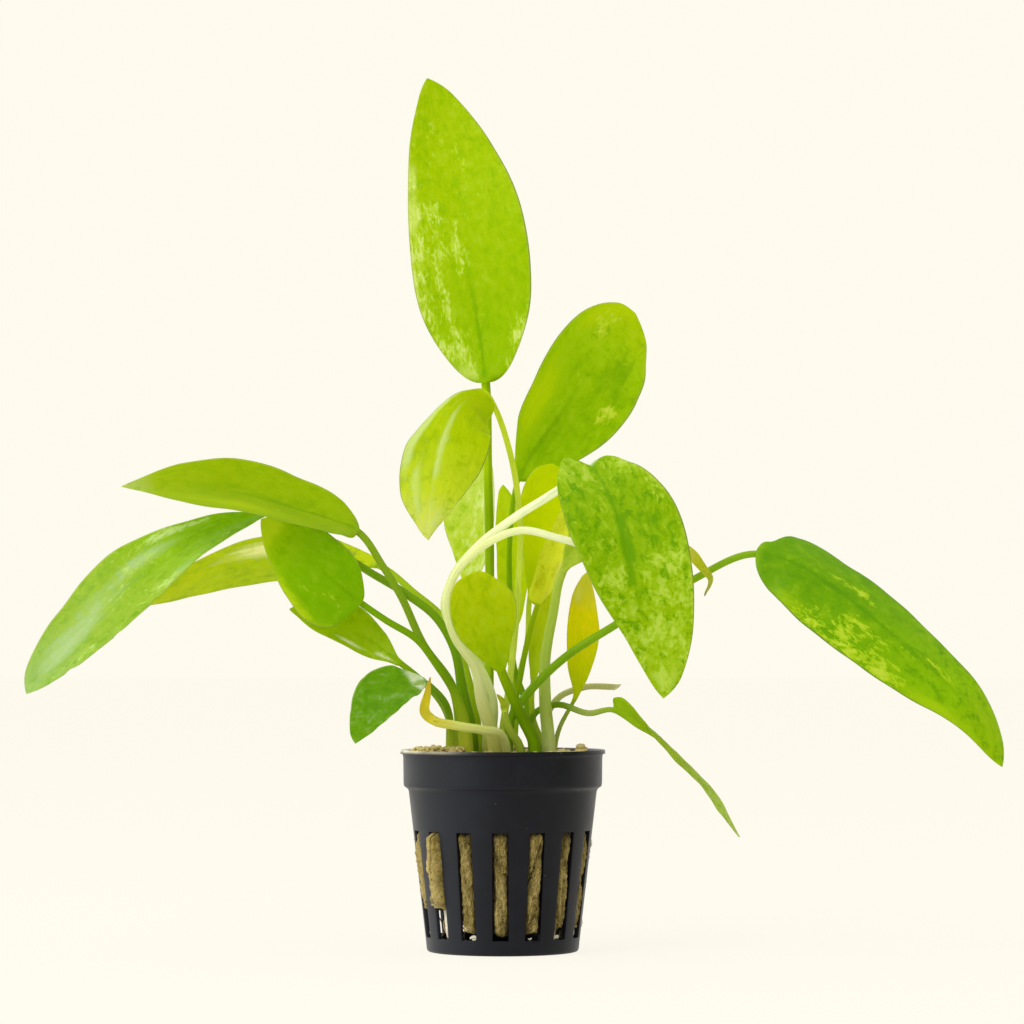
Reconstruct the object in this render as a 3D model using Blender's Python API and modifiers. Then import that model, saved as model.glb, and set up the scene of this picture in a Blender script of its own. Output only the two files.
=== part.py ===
"""A young sword plant for an aquarium, in its net pot.

Long stalks rise from a plug of rockwool and end in broad leaves. Lengths are written in
millimetres and multiplied by MM, because the scene is in metres. The origin is the middle of the
pot's underside and +Z is up. The broad mottled leaf hangs on the -Y side, which is the front.
"""

import math

import bmesh
import bpy
import numpy as np
from mathutils import Matrix

MM = 0.001
GAP = 0.3

# The net pot: a straight band under a thin lip, a small step, and a wall that narrows downwards.
POT_HEIGHT = 52.3
LIP_RADIUS = 26.6
LIP_THICK = 0.9
LIP_TAPER = 0.4
BAND_RADIUS = 26.0
BAND_BOTTOM = 43.2
BAND_DRAFT = 0.1
STEP = 1.2
SHOULDER_RADIUS = 24.6
FOOT_RADIUS = 19.8
FOOT_EDGE = 0.8
WALL = 1.1
FLOOR = 1.4
INNER_EDGE = 0.6
POT_STEPS = 45

# Upright slots in the wall, and radial slots in the floor.
SLOTS = 15
SLOT_WIDTH = 4.2
SLOT_BOTTOM = 3.9
SLOT_TOP = 31.6
SLOT_OFFSET = math.radians(-1.5)
SLOT_CUTTER = 12.0
DRAINS = 6
DRAIN_WIDTH = 2.4
DRAIN_INNER = 7.0
DRAIN_OUTER = 15.0
DRAIN_OFFSET = math.radians(30)

# The rockwool plug is wedged in the pot, a little clear of the floor. It narrows with the wall
# down to PLUG_WAIST, and faster below. ROOT is how deep a stalk goes into it.
PLUG_TOP = 51.6
PLUG_TOP_RADIUS = 22.0
PLUG_EDGE = 1.8
PLUG_WAIST = 11.0
PLUG_BOTTOM = 5.6
PLUG_BOTTOM_RADIUS = 13.0
PLUG_CLEARANCE = 0.55
PLUG_STEPS = 30
ROOT = 2.6

# Each leaf is a row of eight-cornered rings. FLANK is where the lens's middle corners lie between
# the rib and the margin, and KEEL the rib's depth under the blade, as shares.
RING = 8
STALK_STEP = 9.0
BLADE_RINGS = 8
BLADE_THICK = 0.7
THIN_EDGE = 0.1
TIP = 0.3
FLANK = 0.55
KEEL = 0.8

# Where a lobed blade's base faces the way that it grows further on. SETTLED is how far along that
# way is taken, LEAD how long the stalk takes to turn to it, and LOBE how far the lobes reach.
SETTLED = 0.1
LEAD = 6.0
LOBE = 0.16
LOBE_START = 0.025

COLOURS = {
    "lime": (0.34, 0.53, 0.01),
    "mottled": (0.30, 0.48, 0.03),
    "deep": (0.15, 0.36, 0.01),
    "pale": (0.58, 0.68, 0.13),
    "yellow": (0.52, 0.60, 0.01),
    "withered": (0.66, 0.55, 0.07),
    "cut": (0.47, 0.50, 0.22),
    "pot": (0.022, 0.025, 0.03),
    "rockwool": (0.36, 0.27, 0.09),
}

# Where each leaf goes. base: where the stalk enters the plug. stalk: the points that it passes on
# its way to the blade. rib: the midrib's points, from the blade's base to its tip. thick: the
# stalk's radius at the plug and at the blade. left, right: the blade's half widths at 0.07, 0.25,
# 0.5, 0.75 and 0.93 of its length, left being left of the way it grows, seen from the front.
# turn: degrees that the left side comes forwards, at even steps from the base to the tip. cup: how
# far the margins rise, as a share of the half width. lobes: how far the left and the right margin
# reach back past the blade's base.
LEAVES = {
    "leaf_tall": dict(
        base=(-2.5, 1.5), thick=(1.2, 0.9), turn=(-12, -4, 14), cup=0.12, colour="lime",
        stalk=[(-3.5, 2, 65.5), (-3.5, 3, 81), (-3.5, 4, 107), (-4, 4, 128), (-4.5, 3, 148.5)],
        rib=[(-6.5, 2, 163.5), (-9.5, 1, 180), (-13, 2, 198), (-16.5, 5, 213), (-20, 9, 229.5)],
        left=(8.3, 14.2, 13.5, 9.3, 3.6), right=(8.5, 15.4, 17, 12.4, 5.6),
    ),
    "leaf_upper_right": dict(
        base=(7.5, 6.5), thick=(0.9, 0.65), turn=(12, 15, 20), cup=0.16, colour="lime",
        stalk=[(6.5, 7.5, 63), (3, 9, 73.5), (2, 12, 89), (2, 15, 110), (4, 18, 123.5)],
        rib=[(10.5, 22, 134.5), (17.5, 26, 144.5), (24, 31, 155.5), (29.5, 37, 163.5), (36, 43, 170)],
        left=(3.2, 10, 12.5, 11.5, 6), right=(5, 11.5, 15.5, 14.5, 9),
    ),
    "leaf_mottled_front": dict(
        base=(-4.5, -3.5), thick=(1.2, 1.0), turn=(8, 4, -8), cup=0.14, colour="mottled",
        lobes=(1.0, 6.0),
        stalk=[
            (-3, -5, 65.5), (-6, -8, 73.5), (-11.5, -11, 81.5), (-15, -12, 89.5), (-13, -13, 97),
            (-6.5, -16, 105), (2.5, -19, 112), (11.5, -25, 117.5), (18.5, -31, 122), (22, -34, 125),
        ],
        rib=[(25.5, -38, 120), (29.5, -42, 110), (32.5, -46, 97), (36, -49, 83.5), (40, -54, 66.5)],
        left=(5.5, 14.3, 15.3, 11.5, 5.6), right=(9.5, 12.7, 10.2, 5.6, 2.2),
    ),
    "leaf_curled_tip": dict(
        base=(-2, -7.5), thick=(1.1, 0.9), turn=(0, 20, 40), cup=0.3, colour="pale",
        stalk=[
            (-5.5, -10, 65.5), (-7, -13, 73.5), (-12.5, -16, 82), (-14.5, -18, 90), (-12, -19, 98),
            (-5, -21, 105), (4.5, -22, 109), (14.5, -22, 107), (27.5, -22, 103.5), (38, -22, 104.8),
            (44.5, -22, 105.2),
        ],
        rib=[(48.6, -22, 102.6), (51.2, -22.3, 99.6), (53.2, -22.8, 96.6), (51.6, -24, 92.2)],
        left=(1.2, 1.3, 1.1, 0.8, 0.4), right=(1.2, 1.3, 1.1, 0.8, 0.4),
    ),
    "leaf_far_right": dict(
        base=(1.5, -7), thick=(1.2, 0.9), turn=(-38, -34, -28), cup=-0.2, colour="deep",
        stalk=[
            (2.5, -7.5, 61.5), (6, -8, 66.5), (15.5, -9, 76), (28.5, -12, 84.5), (48, -17, 96),
            (65, -22, 103),
        ],
        rib=[
            (73.5, -25, 101), (84.5, -29, 94), (95.5, -33, 85), (106.5, -36, 75), (117.5, -37, 64),
            (126, -36, 49),
        ],
        left=(6, 9.6, 10.6, 8, 4.6), right=(9, 13, 12.6, 7.5, 2.6),
    ),
    "leaf_left_high": dict(
        base=(-10.5, 2), thick=(1.1, 0.9), turn=(52, 52, 46), cup=0.24, colour="lime",
        stalk=[(-13.5, 1, 69.5), (-20.5, -2, 79.5), (-26.5, -7, 92.5), (-31, -10, 100), (-37.5, -14, 109)],
        rib=[(-44.5, -16.5, 112), (-54.5, -19, 115), (-67, -21, 118.5), (-80.5, -24, 120), (-97, -28, 120)],
        left=(6, 9, 11, 9, 2.5), right=(6.5, 10, 11, 7.5, 2.2),
    ),
    "leaf_left_long": dict(
        base=(-8.5, -2.5), thick=(1.2, 0.9), turn=(46, 42, 36), cup=0.2, colour="deep",
        stalk=[
            (-10.5, -2.5, 67.5), (-13, -3, 79.5), (-17.5, -3.5, 87), (-24.5, -4, 92.5),
            (-36, -5, 99.5), (-47, -7, 107), (-57.5, -10, 114.5),
        ],
        rib=[(-66.5, -14, 112), (-79, -20, 106), (-92.5, -27, 95.5), (-105.5, -34, 82), (-119.5, -41, 67.5)],
        left=(2, 6, 10.5, 9, 4), right=(1.2, 6.8, 12.4, 10.5, 5.4),
    ),
    "leaf_left_broad": dict(
        base=(-9.5, -8.5), thick=(1.0, 0.85), turn=(8, 10, 12), cup=0.12, colour="deep",
        stalk=[(-12.5, -10, 67.5), (-17, -12, 74.5), (-22, -13.5, 81), (-30, -15, 86), (-36.5, -16, 90.5)],
        rib=[
            (-41.5, -18, 94.5), (-47.5, -19.5, 99.5), (-53.5, -19.5, 104.5), (-58.5, -19, 108.5),
            (-62, -19, 112),
        ],
        left=(9, 12.6, 10.8, 6.6, 2.3), right=(4, 8, 8.6, 7.4, 3.2),
    ),
    "leaf_left_yellow": dict(
        base=(-7, 5.5), thick=(1.0, 0.85), turn=(48, 50, 50), cup=0.1, colour="yellow",
        stalk=[(-8, 7, 65), (-10.5, 11, 75.5), (-16, 16, 87), (-23.5, 20, 93.5), (-33.5, 25, 101)],
        rib=[(-46.5, 29, 102), (-61.5, 34, 102), (-77, 40, 99.5), (-91, 46, 94.5), (-102, 51, 90)],
        left=(3, 9, 9.5, 7, 2.5), right=(4, 10, 10, 6.5, 2.2),
    ),
    "leaf_left_inner": dict(
        base=(-12.5, -2.5), thick=(0.9, 0.8), turn=(24, 24, 24), cup=0.15, colour="lime",
        stalk=[(-15.5, -5, 64), (-20, -7, 69.5), (-26.5, -9, 75)],
        rib=[(-31.5, -9, 79), (-39, -8, 83.5), (-47.5, -6, 87), (-55.5, -4, 89)],
        left=(2, 4.8, 5.2, 4.3, 1.4), right=(1.2, 4, 6.5, 5.5, 2),
    ),
    "leaf_left_glossy": dict(
        base=(-13.5, -7.5), thick=(1.0, 0.85), turn=(30, 30, 30), cup=0.2, colour="deep",
        stalk=[(-15, -13, 65), (-17.5, -16, 68), (-20, -19, 70)],
        rib=[(-23.5, -23, 69), (-28, -29, 65.5), (-32.5, -35, 60), (-37, -40, 55)],
        left=(2, 3.8, 3.6, 2.4, 0.8), right=(3, 9, 9.4, 6.6, 3),
    ),
    "leaf_round_front": dict(
        base=(8.5, -7), thick=(1.6, 1.0), turn=(0, 0, 0), cup=0.1, colour="lime",
        stalk=[(5, -9, 61), (2, -14, 67.5), (-0.5, -19, 73.5)],
        rib=[(-2, -23, 79), (-3.5, -27, 85), (-5, -31, 92), (-6, -33, 98.5)],
        left=(2.3, 5.7, 8.7, 8.7, 6), right=(2.1, 4.4, 7.2, 7.7, 3.4),
    ),
    "leaf_drooping": dict(
        base=(-0.5, 6.5), thick=(0.9, 0.75), turn=(0, 4, 10), cup=-0.16, colour="yellow",
        lobes=(0.8, 1.2),
        stalk=[
            (1.5, 6, 68), (3, 5, 81), (4, 4, 94), (4.5, 3, 112.5), (1.5, 2, 131.5), (-2, 0, 141.5),
            (-4.5, -3, 145.5),
        ],
        rib=[(-8, -6, 144), (-11.5, -10, 139.5), (-14, -14, 131.5), (-16, -18, 121), (-19, -23, 106.5)],
        left=(4.2, 9.8, 10, 5.5, 1.3), right=(2.2, 6.6, 11.4, 10, 3.6),
    ),
    "leaf_back_mottled": dict(
        base=(-3.5, 9.5), thick=(1.0, 0.8), turn=(-15, -20, -25), cup=0.12, colour="pale",
        stalk=[(-4, 13, 65), (-6.5, 19, 78.5), (-9, 27, 94)],
        rib=[(-8.5, 31, 102.5), (-8, 36, 112), (-7, 41, 121.5), (-5.5, 47, 134.5)],
        left=(2, 5, 8.4, 8, 3.5), right=(2, 5.2, 6, 4.6, 2.2),
    ),
    "leaf_back_slim": dict(
        base=(3, 5), thick=(0.9, 0.7), turn=(30, 34, 38), cup=0.15, colour="lime",
        stalk=[(3.5, 9, 64), (1.5, 14, 78.5)],
        rib=[(1, 16.5, 87), (1.5, 19, 97), (2, 21, 107.5), (1.5, 23, 115.5), (0, 25, 122.5)],
        left=(1.5, 3.2, 4.6, 5.2, 2.8), right=(1.5, 4.8, 5.6, 4, 1.8),
    ),
    "leaf_back_yellow": dict(
        base=(2, 11), thick=(0.9, 0.7), turn=(0, 6, 12), cup=0.1, colour="yellow",
        stalk=[(3.5, 13, 68), (6.5, 13, 81), (7, 12, 91.5)],
        rib=[(8.5, 10, 99.5), (10, 9.5, 110), (11.5, 9.5, 119), (13, 10, 127.5)],
        left=(0.9, 3, 5.2, 6.8, 4.5), right=(0.9, 2.2, 6, 7.5, 5.4),
    ),
    "leaf_olive": dict(
        base=(1.5, -2.5), thick=(0.9, 0.65), turn=(-10, -15, -20), cup=0.15, colour="lime",
        stalk=[(2.5, -2, 61.5), (4, -1, 68.5), (6.5, 1, 81), (9, 3, 90)],
        rib=[(11, 4, 95.5), (13, 5, 102), (16, 6, 108.5), (19, 7, 115), (23, 8, 120.5)],
        left=(3.2, 3.3, 3.6, 3.5, 1.5), right=(1.5, 4, 5.4, 4.8, 2),
    ),
    "leaf_young": dict(
        base=(10.5, 3), thick=(0.9, 0.7), turn=(20, 25, 30), cup=0.2, colour="yellow",
        stalk=[(8, 3, 60), (7.5, 3, 65.5), (8, 3, 70.5)],
        rib=[(8.5, 3.5, 76), (9.5, 5, 83), (11.5, 7, 90), (12.5, 9, 97), (14, 11, 102)],
        left=(1.3, 2.4, 2.5, 2.4, 1.1), right=(1.2, 2.6, 3.1, 3, 1.4),
    ),
    "leaf_hidden": dict(
        base=(12, -3), thick=(1.8, 1.1), turn=(0, -10, -20), cup=0.15, colour="pale",
        stalk=[(11, -4, 65.5), (11, -5, 76), (13, -6, 87.5), (15.5, -6, 98.5)],
        rib=[(19.5, -5, 104.5), (24, -3, 109.5), (29, 1, 114), (34.5, 6, 118.5)],
        left=(1.3, 4, 6, 5, 2), right=(1.3, 4, 6, 5, 2),
    ),
    "leaf_gold": dict(
        base=(13.6, 1.2), thick=(0.7, 0.5), turn=(10, 10, 10), cup=0.15, colour="yellow",
        stalk=[(15, 0.8, 58.5), (16.8, 0.8, 62), (18.5, 1, 65)],
        rib=[(20, 4, 74.5), (21, 7, 83.5), (22, 11, 91.5), (22.5, 16, 99)],
        left=(0.9, 3.2, 4.3, 4.1, 1.9), right=(1, 3.3, 4.4, 2.6, 0.9),
    ),
    "leaf_low_right": dict(
        base=(7.5, 0), thick=(0.9, 0.75), turn=(10, 76, 80, 78, 76), cup=0.1, colour="deep",
        lobes=(2.6, 0.4),
        stalk=[(7, 0.5, 59.5), (8.5, 1, 62), (13, -0.5, 64), (22.5, -8, 62), (28.5, -13, 63)],
        rib=[(36, -17, 59), (45, -24, 51), (53, -32, 42.5), (59.5, -40, 31.5)],
        left=(3, 3, 4.5, 4.2, 1.6), right=(1.2, 2.6, 4.5, 4.2, 1.6),
    ),
    "withered_strap": dict(
        base=(1, -11.5), thick=(1.1, 1.2), turn=(0, 0, 0), cup=0.2, colour="withered",
        stalk=[(-0.5, -14, 57), (-4.5, -18, 58), (-12, -22, 59.5), (-18, -24.5, 62)],
        rib=[(-20, -25.5, 64), (-19.5, -26, 67.5), (-18.5, -26, 71.5)],
        left=(1.3, 1.2, 1, 0.7, 0.4), right=(1.3, 1.2, 1, 0.7, 0.4),
    ),
    "dry_sheath": dict(
        base=(4.5, -9.5), thick=(0.8, 0.9), turn=(0, 0, 0), cup=0.3, colour="withered",
        stalk=[(1.5, -11, 58.5), (0.5, -12, 62.5)],
        rib=[(0, -12.5, 65), (-1.5, -13, 67.5)],
        left=(1.1, 1.4, 1.3, 1, 0.5), right=(1.1, 1.4, 1.3, 1, 0.5),
    ),
}

# The stump of a stalk that was cut off at a slant.
CUT_STALK_BASE = (12, 8)
CUT_STALK_ROUTE = [(12, 10, 62), (15, 12, 66), (21.5, 14, 68.5), (30.5, 17, 68.5)]
CUT_STALK_RADIUS = 0.9


def clear_scene():
    for obj in list(bpy.data.objects):
        bpy.data.objects.remove(obj, do_unlink=True)


def new_collection(name, hidden=False):
    collection = bpy.data.collections.new(name)
    collection.hide_render = hidden
    bpy.context.scene.collection.children.link(collection)
    return collection


def material(name, roughness):
    made = bpy.data.materials.get(name)
    if made is None:
        made = bpy.data.materials.new(name)
        made.use_nodes = True
        shader = made.node_tree.nodes["Principled BSDF"]
        shader.inputs["Base Color"].default_value = (*COLOURS[name], 1)
        shader.inputs["Roughness"].default_value = roughness
        shader.inputs["Metallic"].default_value = 0
    return made


def add(name, mesh, collection, finish=None):
    obj = bpy.data.objects.new(name, mesh)
    collection.objects.link(obj)
    if finish:
        mesh.materials.append(finish)
    return obj


def smooth(knots, values, at, flat_end=False):
    """Values at the places `at` of the smooth curve through `values` at `knots`: a cubic between
    each pair, whose slopes come from the neighbours on both sides."""
    knots, values, at = (np.asarray(given, float) for given in (knots, values, at))
    slopes = np.gradient(values, knots, axis=0)
    if flat_end:
        slopes[-1] = 0
    i = np.clip(np.searchsorted(knots, at, side="right") - 1, 0, len(knots) - 2)
    shape = (-1,) + (1,) * (values.ndim - 1)
    step = (knots[i + 1] - knots[i]).reshape(shape)
    t = ((at - knots[i]) / (knots[i + 1] - knots[i])).reshape(shape)
    start = (2 * t**3 - 3 * t**2 + 1) * values[i] + (t**3 - 2 * t**2 + t) * step * slopes[i]
    end = (3 * t**2 - 2 * t**3) * values[i + 1] + (t**3 - t**2) * step * slopes[i + 1]
    return start + end


def chords(points):
    """How far along the line through the points each of them is."""
    steps = np.linalg.norm(np.diff(points, axis=0), axis=1)
    return np.concatenate([[0], np.cumsum(steps)])


def unit(vectors):
    return vectors / np.linalg.norm(vectors, axis=-1, keepdims=True)


def rooted(base, route):
    """The route with two points below it, so that the stalk stands upright in its pit."""
    return [(*base, PLUG_TOP - ROOT), (*base, PLUG_TOP + ROOT / 2), *route]


def leaf_rings(base, stalk, rib, thick, left, right, turn, cup, lobes=(0, 0)):
    """The leaf's rings of corners, as an array of ring by corner by XYZ. A stalk's ring is round.
    A blade's is a thin lens: margin, flank, rib, flank, margin, and back along the underside."""
    route = np.array(rooted(base, stalk) + list(rib), float)
    along = chords(route)
    blade_start = along[len(stalk) + 1]
    stalk_rings = max(4, round(blade_start / STALK_STEP) + 2)
    sweep = np.linspace(0, 180, BLADE_RINGS + 2)[1:]
    share = (1 - np.cos(np.radians(sweep))) / 2
    blade = blade_start + (along[-1] - blade_start) * share
    at = np.concatenate([[0], np.linspace(along[1], blade_start, stalk_rings - 1), blade])
    centre = smooth(along, route, at)
    ahead = unit(np.gradient(centre, at, axis=0))
    ahead[0] = (0, 0, 1)
    blade_share = np.clip((at - blade_start) / (along[-1] - blade_start), 0, 1)
    facing = ahead
    if any(lobes):
        settled = ahead[np.argmax(blade_share >= SETTLED)]
        pull = np.interp(at - blade_start, (-LEAD, 0), (0, 1))
        pull = pull * np.interp(blade_share, (SETTLED / 2, 2 * SETTLED), (1, 0))
        facing = unit(ahead + (settled - ahead) * pull[:, None])
    angle = np.radians(np.interp(blade_share, np.linspace(0, 1, len(turn)), turn))[:, None]
    level = unit(np.cross(facing, (0, 1, 0)))
    sideways = level * np.cos(angle) + np.cross(facing, level) * np.sin(angle)
    # A stalk's rings stay square to it.
    facing[:stalk_rings] = ahead[:stalk_rings]
    across_stalk = sideways[:stalk_rings]
    across_stalk -= (across_stalk * facing[:stalk_rings]).sum(axis=1, keepdims=True) * facing[:stalk_rings]
    sideways = unit(sideways)
    upper = np.cross(facing, sideways)

    radius = np.interp(at, (0, blade_start, along[-1]), (*thick, TIP))[:, None]
    corner = np.radians(np.arange(RING) * 360 / RING)
    across = radius * np.cos(corner)
    lift = radius * np.sin(corner)

    knots = np.linspace(0, 180, len(left) + 2)
    half = [smooth(knots, (thick[1], *side, TIP), sweep, flat_end=True) for side in (left, right)]
    thin = np.minimum(BLADE_THICK / 2, THIN_EDGE + (half[0] + half[1]) / 4)
    under = np.maximum(radius[stalk_rings:, 0] * KEEL, thin)
    sag = FLANK**1.5 * cup
    across[stalk_rings:] = np.stack(
        [
            half[0], FLANK * half[0], 0 * thin, -FLANK * half[1],
            -half[1], -FLANK * half[1], 0 * thin, FLANK * half[0],
        ],
        axis=1,
    )
    lift[stalk_rings:] = np.stack(
        [
            cup * half[0], sag * half[0] + thin, thin, sag * half[1] + thin,
            cup * half[1], sag * half[1] - thin, -under, sag * half[0] - thin,
        ],
        axis=1,
    )
    rings = centre[:, None] + across[..., None] * sideways[:, None] + lift[..., None] * upper[:, None]
    reach = np.exp(-((blade_share / LOBE) ** 2)) * np.clip(blade_share / LOBE_START, 0, 1)
    side = np.array([1, FLANK, 0, FLANK, 1, FLANK, 0, FLANK]) ** 1.5
    side *= np.array([lobes[0]] * 2 + [0] + [lobes[1]] * 3 + [0] + [lobes[0]])
    return rings - (reach[:, None] * side)[..., None] * facing[:, None]


def loft(name, rings):
    """A closed mesh through the rings, with a flat cap on each end."""
    count, corners, _ = rings.shape
    index = np.arange(count * corners).reshape(count, corners)
    ahead = np.roll(index, -1, axis=1)
    sides = np.stack([index[:-1], ahead[:-1], ahead[1:], index[1:]], axis=-1).reshape(-1, 4)
    faces = sides.tolist() + [index[0, ::-1].tolist(), index[-1].tolist()]
    mesh = bpy.data.meshes.new(name)
    mesh.from_pydata((rings.reshape(-1, 3) * MM).tolist(), [], faces)
    mesh.shade_smooth()
    mesh.set_sharp_from_angle(angle=math.radians(50))
    return mesh


def turned(name, profile, steps, collection, finish):
    """A solid turned about Z. The profile runs down the outer side."""
    mesh = bpy.data.meshes.new(name)
    corners = [(radius * MM, 0, height * MM) for radius, height in profile]
    mesh.from_pydata(corners, [(i, i + 1) for i in range(len(corners) - 1)], [])
    obj = add(name, mesh, collection, finish)
    screw = obj.modifiers.new("turn", "SCREW")
    screw.steps = steps
    screw.render_steps = steps
    screw.use_merge_vertices = True
    screw.merge_threshold = 0.00001
    return obj


def boxes(name, places, size, collection):
    """One cutter made of equal boxes, each placed by its own matrix."""
    shape = bmesh.new()
    for place in places:
        bmesh.ops.create_cube(shape, size=1, matrix=place @ Matrix.Diagonal((*size, 1)))
    mesh = bpy.data.meshes.new(name)
    shape.to_mesh(mesh)
    shape.free()
    cutter = add(name, mesh, collection)
    cutter.display_type = "WIRE"
    cutter.hide_render = True
    return cutter


def cut(obj, cutter):
    boolean = obj.modifiers.new("cut " + cutter.name, "BOOLEAN")
    boolean.operation = "DIFFERENCE"
    boolean.solver = "EXACT"
    boolean.object = cutter


def around(count, radius, height, offset=0.0):
    """Matrices spaced evenly about Z, from the front, each with its X pointing outwards."""
    for i in range(count):
        angle = offset - math.pi / 2 + 2 * math.pi * i / count
        turn = Matrix.Rotation(angle, 4, "Z")
        yield turn @ Matrix.Translation((radius * MM, 0, height * MM))


def make_pot(collection, cutters):
    inner = BAND_RADIUS - WALL
    profile = [
        (0, FLOOR), (FOOT_RADIUS - WALL - INNER_EDGE, FLOOR), (FOOT_RADIUS - WALL, FLOOR + INNER_EDGE),
        (SHOULDER_RADIUS - WALL, BAND_BOTTOM - STEP), (inner, BAND_BOTTOM), (inner, POT_HEIGHT),
        (LIP_RADIUS, POT_HEIGHT), (LIP_RADIUS, POT_HEIGHT - LIP_THICK),
        (BAND_RADIUS, POT_HEIGHT - LIP_THICK - LIP_TAPER), (BAND_RADIUS - BAND_DRAFT, BAND_BOTTOM),
        (SHOULDER_RADIUS, BAND_BOTTOM - STEP), (FOOT_RADIUS, FOOT_EDGE),
        (FOOT_RADIUS - FOOT_EDGE, 0), (0, 0),
    ]
    pot = turned("net_pot", profile, POT_STEPS, collection, material("pot", 0.4))
    tall = SLOT_TOP - SLOT_BOTTOM
    places = around(SLOTS, (FOOT_RADIUS + BAND_RADIUS) / 2, SLOT_BOTTOM + tall / 2, SLOT_OFFSET)
    cut(pot, boxes("wall slots", places, (SLOT_CUTTER * MM, SLOT_WIDTH * MM, tall * MM), cutters))
    places = around(DRAINS, (DRAIN_INNER + DRAIN_OUTER) / 2, FLOOR / 2, DRAIN_OFFSET)
    size = ((DRAIN_OUTER - DRAIN_INNER) * MM, DRAIN_WIDTH * MM, 4 * FLOOR * MM)
    cut(pot, boxes("floor slots", places, size, cutters))


def make_plug(collection, cutters):
    shoulder = BAND_BOTTOM - STEP
    middle = (shoulder + PLUG_WAIST) / 2

    def beside_wall(height):
        share = height / shoulder
        return FOOT_RADIUS + (SHOULDER_RADIUS - FOOT_RADIUS) * share - WALL - PLUG_CLEARANCE

    profile = [
        (0, PLUG_TOP), (PLUG_TOP_RADIUS, PLUG_TOP), (beside_wall(BAND_BOTTOM), PLUG_TOP - PLUG_EDGE),
        (beside_wall(shoulder), shoulder), (beside_wall(middle), middle),
        (beside_wall(PLUG_WAIST), PLUG_WAIST), (PLUG_BOTTOM_RADIUS, PLUG_BOTTOM), (0, PLUG_BOTTOM),
    ]
    plug = turned("rockwool_plug", profile, PLUG_STEPS, collection, material("rockwool", 0.95))
    shape = bmesh.new()
    roots = [(leaf["base"], leaf["thick"][0]) for leaf in LEAVES.values()]
    for (x, y), radius in roots + [(CUT_STALK_BASE, CUT_STALK_RADIUS)]:
        wide = (radius + GAP) / math.cos(math.pi / RING) * MM
        place = Matrix.Translation((x * MM, y * MM, PLUG_TOP * MM))
        bmesh.ops.create_cone(
            shape, cap_ends=True, segments=RING, radius1=wide, radius2=wide,
            depth=2 * (ROOT + GAP) * MM, matrix=place,
        )
    mesh = bpy.data.meshes.new("pits")
    shape.to_mesh(mesh)
    shape.free()
    pits = add("pits", mesh, cutters)
    pits.display_type = "WIRE"
    pits.hide_render = True
    cut(plug, pits)


def make_leaves(collection):
    for name, leaf in LEAVES.items():
        sizes = {key: value for key, value in leaf.items() if key != "colour"}
        add(name, loft(name, leaf_rings(**sizes)), collection, material(leaf["colour"], 0.45))


def make_cut_stalk(collection):
    route = np.array(rooted(CUT_STALK_BASE, CUT_STALK_ROUTE), float)
    along = chords(route)
    places = smooth(along, route, np.linspace(0, along[-1], 9)) * MM
    curve = bpy.data.curves.new("cut_stalk", "CURVE")
    curve.dimensions = "3D"
    spline = curve.splines.new("POLY")
    spline.points.add(len(places) - 1)
    spline.points.foreach_set("co", np.column_stack([places, np.ones(len(places))]).ravel())
    curve.bevel_depth = CUT_STALK_RADIUS * MM
    curve.bevel_resolution = 2
    curve.use_fill_caps = True
    add("cut_stalk", curve, collection, material("cut", 0.6))


clear_scene()
plant = new_collection("potted sword plant")
cutters = new_collection("cutters", hidden=True)
make_pot(plant, cutters)
make_plug(plant, cutters)
make_leaves(plant)
make_cut_stalk(plant)
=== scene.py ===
"""A young amazon sword plant in a slotted net pot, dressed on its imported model.

Sizes are in millimetres and go into the meshes times MM, because the scene is in metres. The
plant's own frame is kept throughout: +Z up, the front towards -Y, the origin under the pot.
"""

import math

import bpy
import numpy as np
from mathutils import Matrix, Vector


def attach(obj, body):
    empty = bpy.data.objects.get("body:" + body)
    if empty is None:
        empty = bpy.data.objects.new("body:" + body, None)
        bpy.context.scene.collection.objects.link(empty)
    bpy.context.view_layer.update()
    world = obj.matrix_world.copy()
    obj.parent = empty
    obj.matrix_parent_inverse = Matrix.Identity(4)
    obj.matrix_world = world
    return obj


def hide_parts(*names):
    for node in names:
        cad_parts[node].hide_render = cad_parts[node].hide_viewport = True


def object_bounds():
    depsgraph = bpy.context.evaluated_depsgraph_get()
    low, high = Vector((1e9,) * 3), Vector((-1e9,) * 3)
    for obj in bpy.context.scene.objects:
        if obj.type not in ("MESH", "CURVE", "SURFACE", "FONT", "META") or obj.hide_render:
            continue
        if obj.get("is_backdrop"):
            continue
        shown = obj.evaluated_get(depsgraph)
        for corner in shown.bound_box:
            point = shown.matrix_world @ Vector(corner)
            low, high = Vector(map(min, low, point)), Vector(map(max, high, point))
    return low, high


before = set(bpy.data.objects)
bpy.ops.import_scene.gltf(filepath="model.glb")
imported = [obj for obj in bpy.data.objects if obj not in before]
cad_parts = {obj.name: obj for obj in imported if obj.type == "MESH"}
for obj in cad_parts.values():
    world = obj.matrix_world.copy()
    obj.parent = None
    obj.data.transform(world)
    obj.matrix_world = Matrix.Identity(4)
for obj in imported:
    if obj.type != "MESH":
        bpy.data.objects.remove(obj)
cad_box = [list(corner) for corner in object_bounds()]

# ---------------------------------------------------------------------------------------------
# The stage. A pale table that runs on out of sight under an even pale surround, as in a studio
# sweep. A bright wall behind shines through the leaves, and a soft light stands at the upper left.

MM = 0.001
CAMERA = (2.4, -1070.0, 79.5)
CAMERA_RISE = math.radians(1.87)
LENS = 143.97
TABLE_REACH = 9000.0
TABLE_LEVEL = -0.02
TABLE_GLOW = 0.975
TABLE_GLOW_SHARE = 0.92
CREAM = (1.0, 0.962, 0.862, 1.0)
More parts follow.
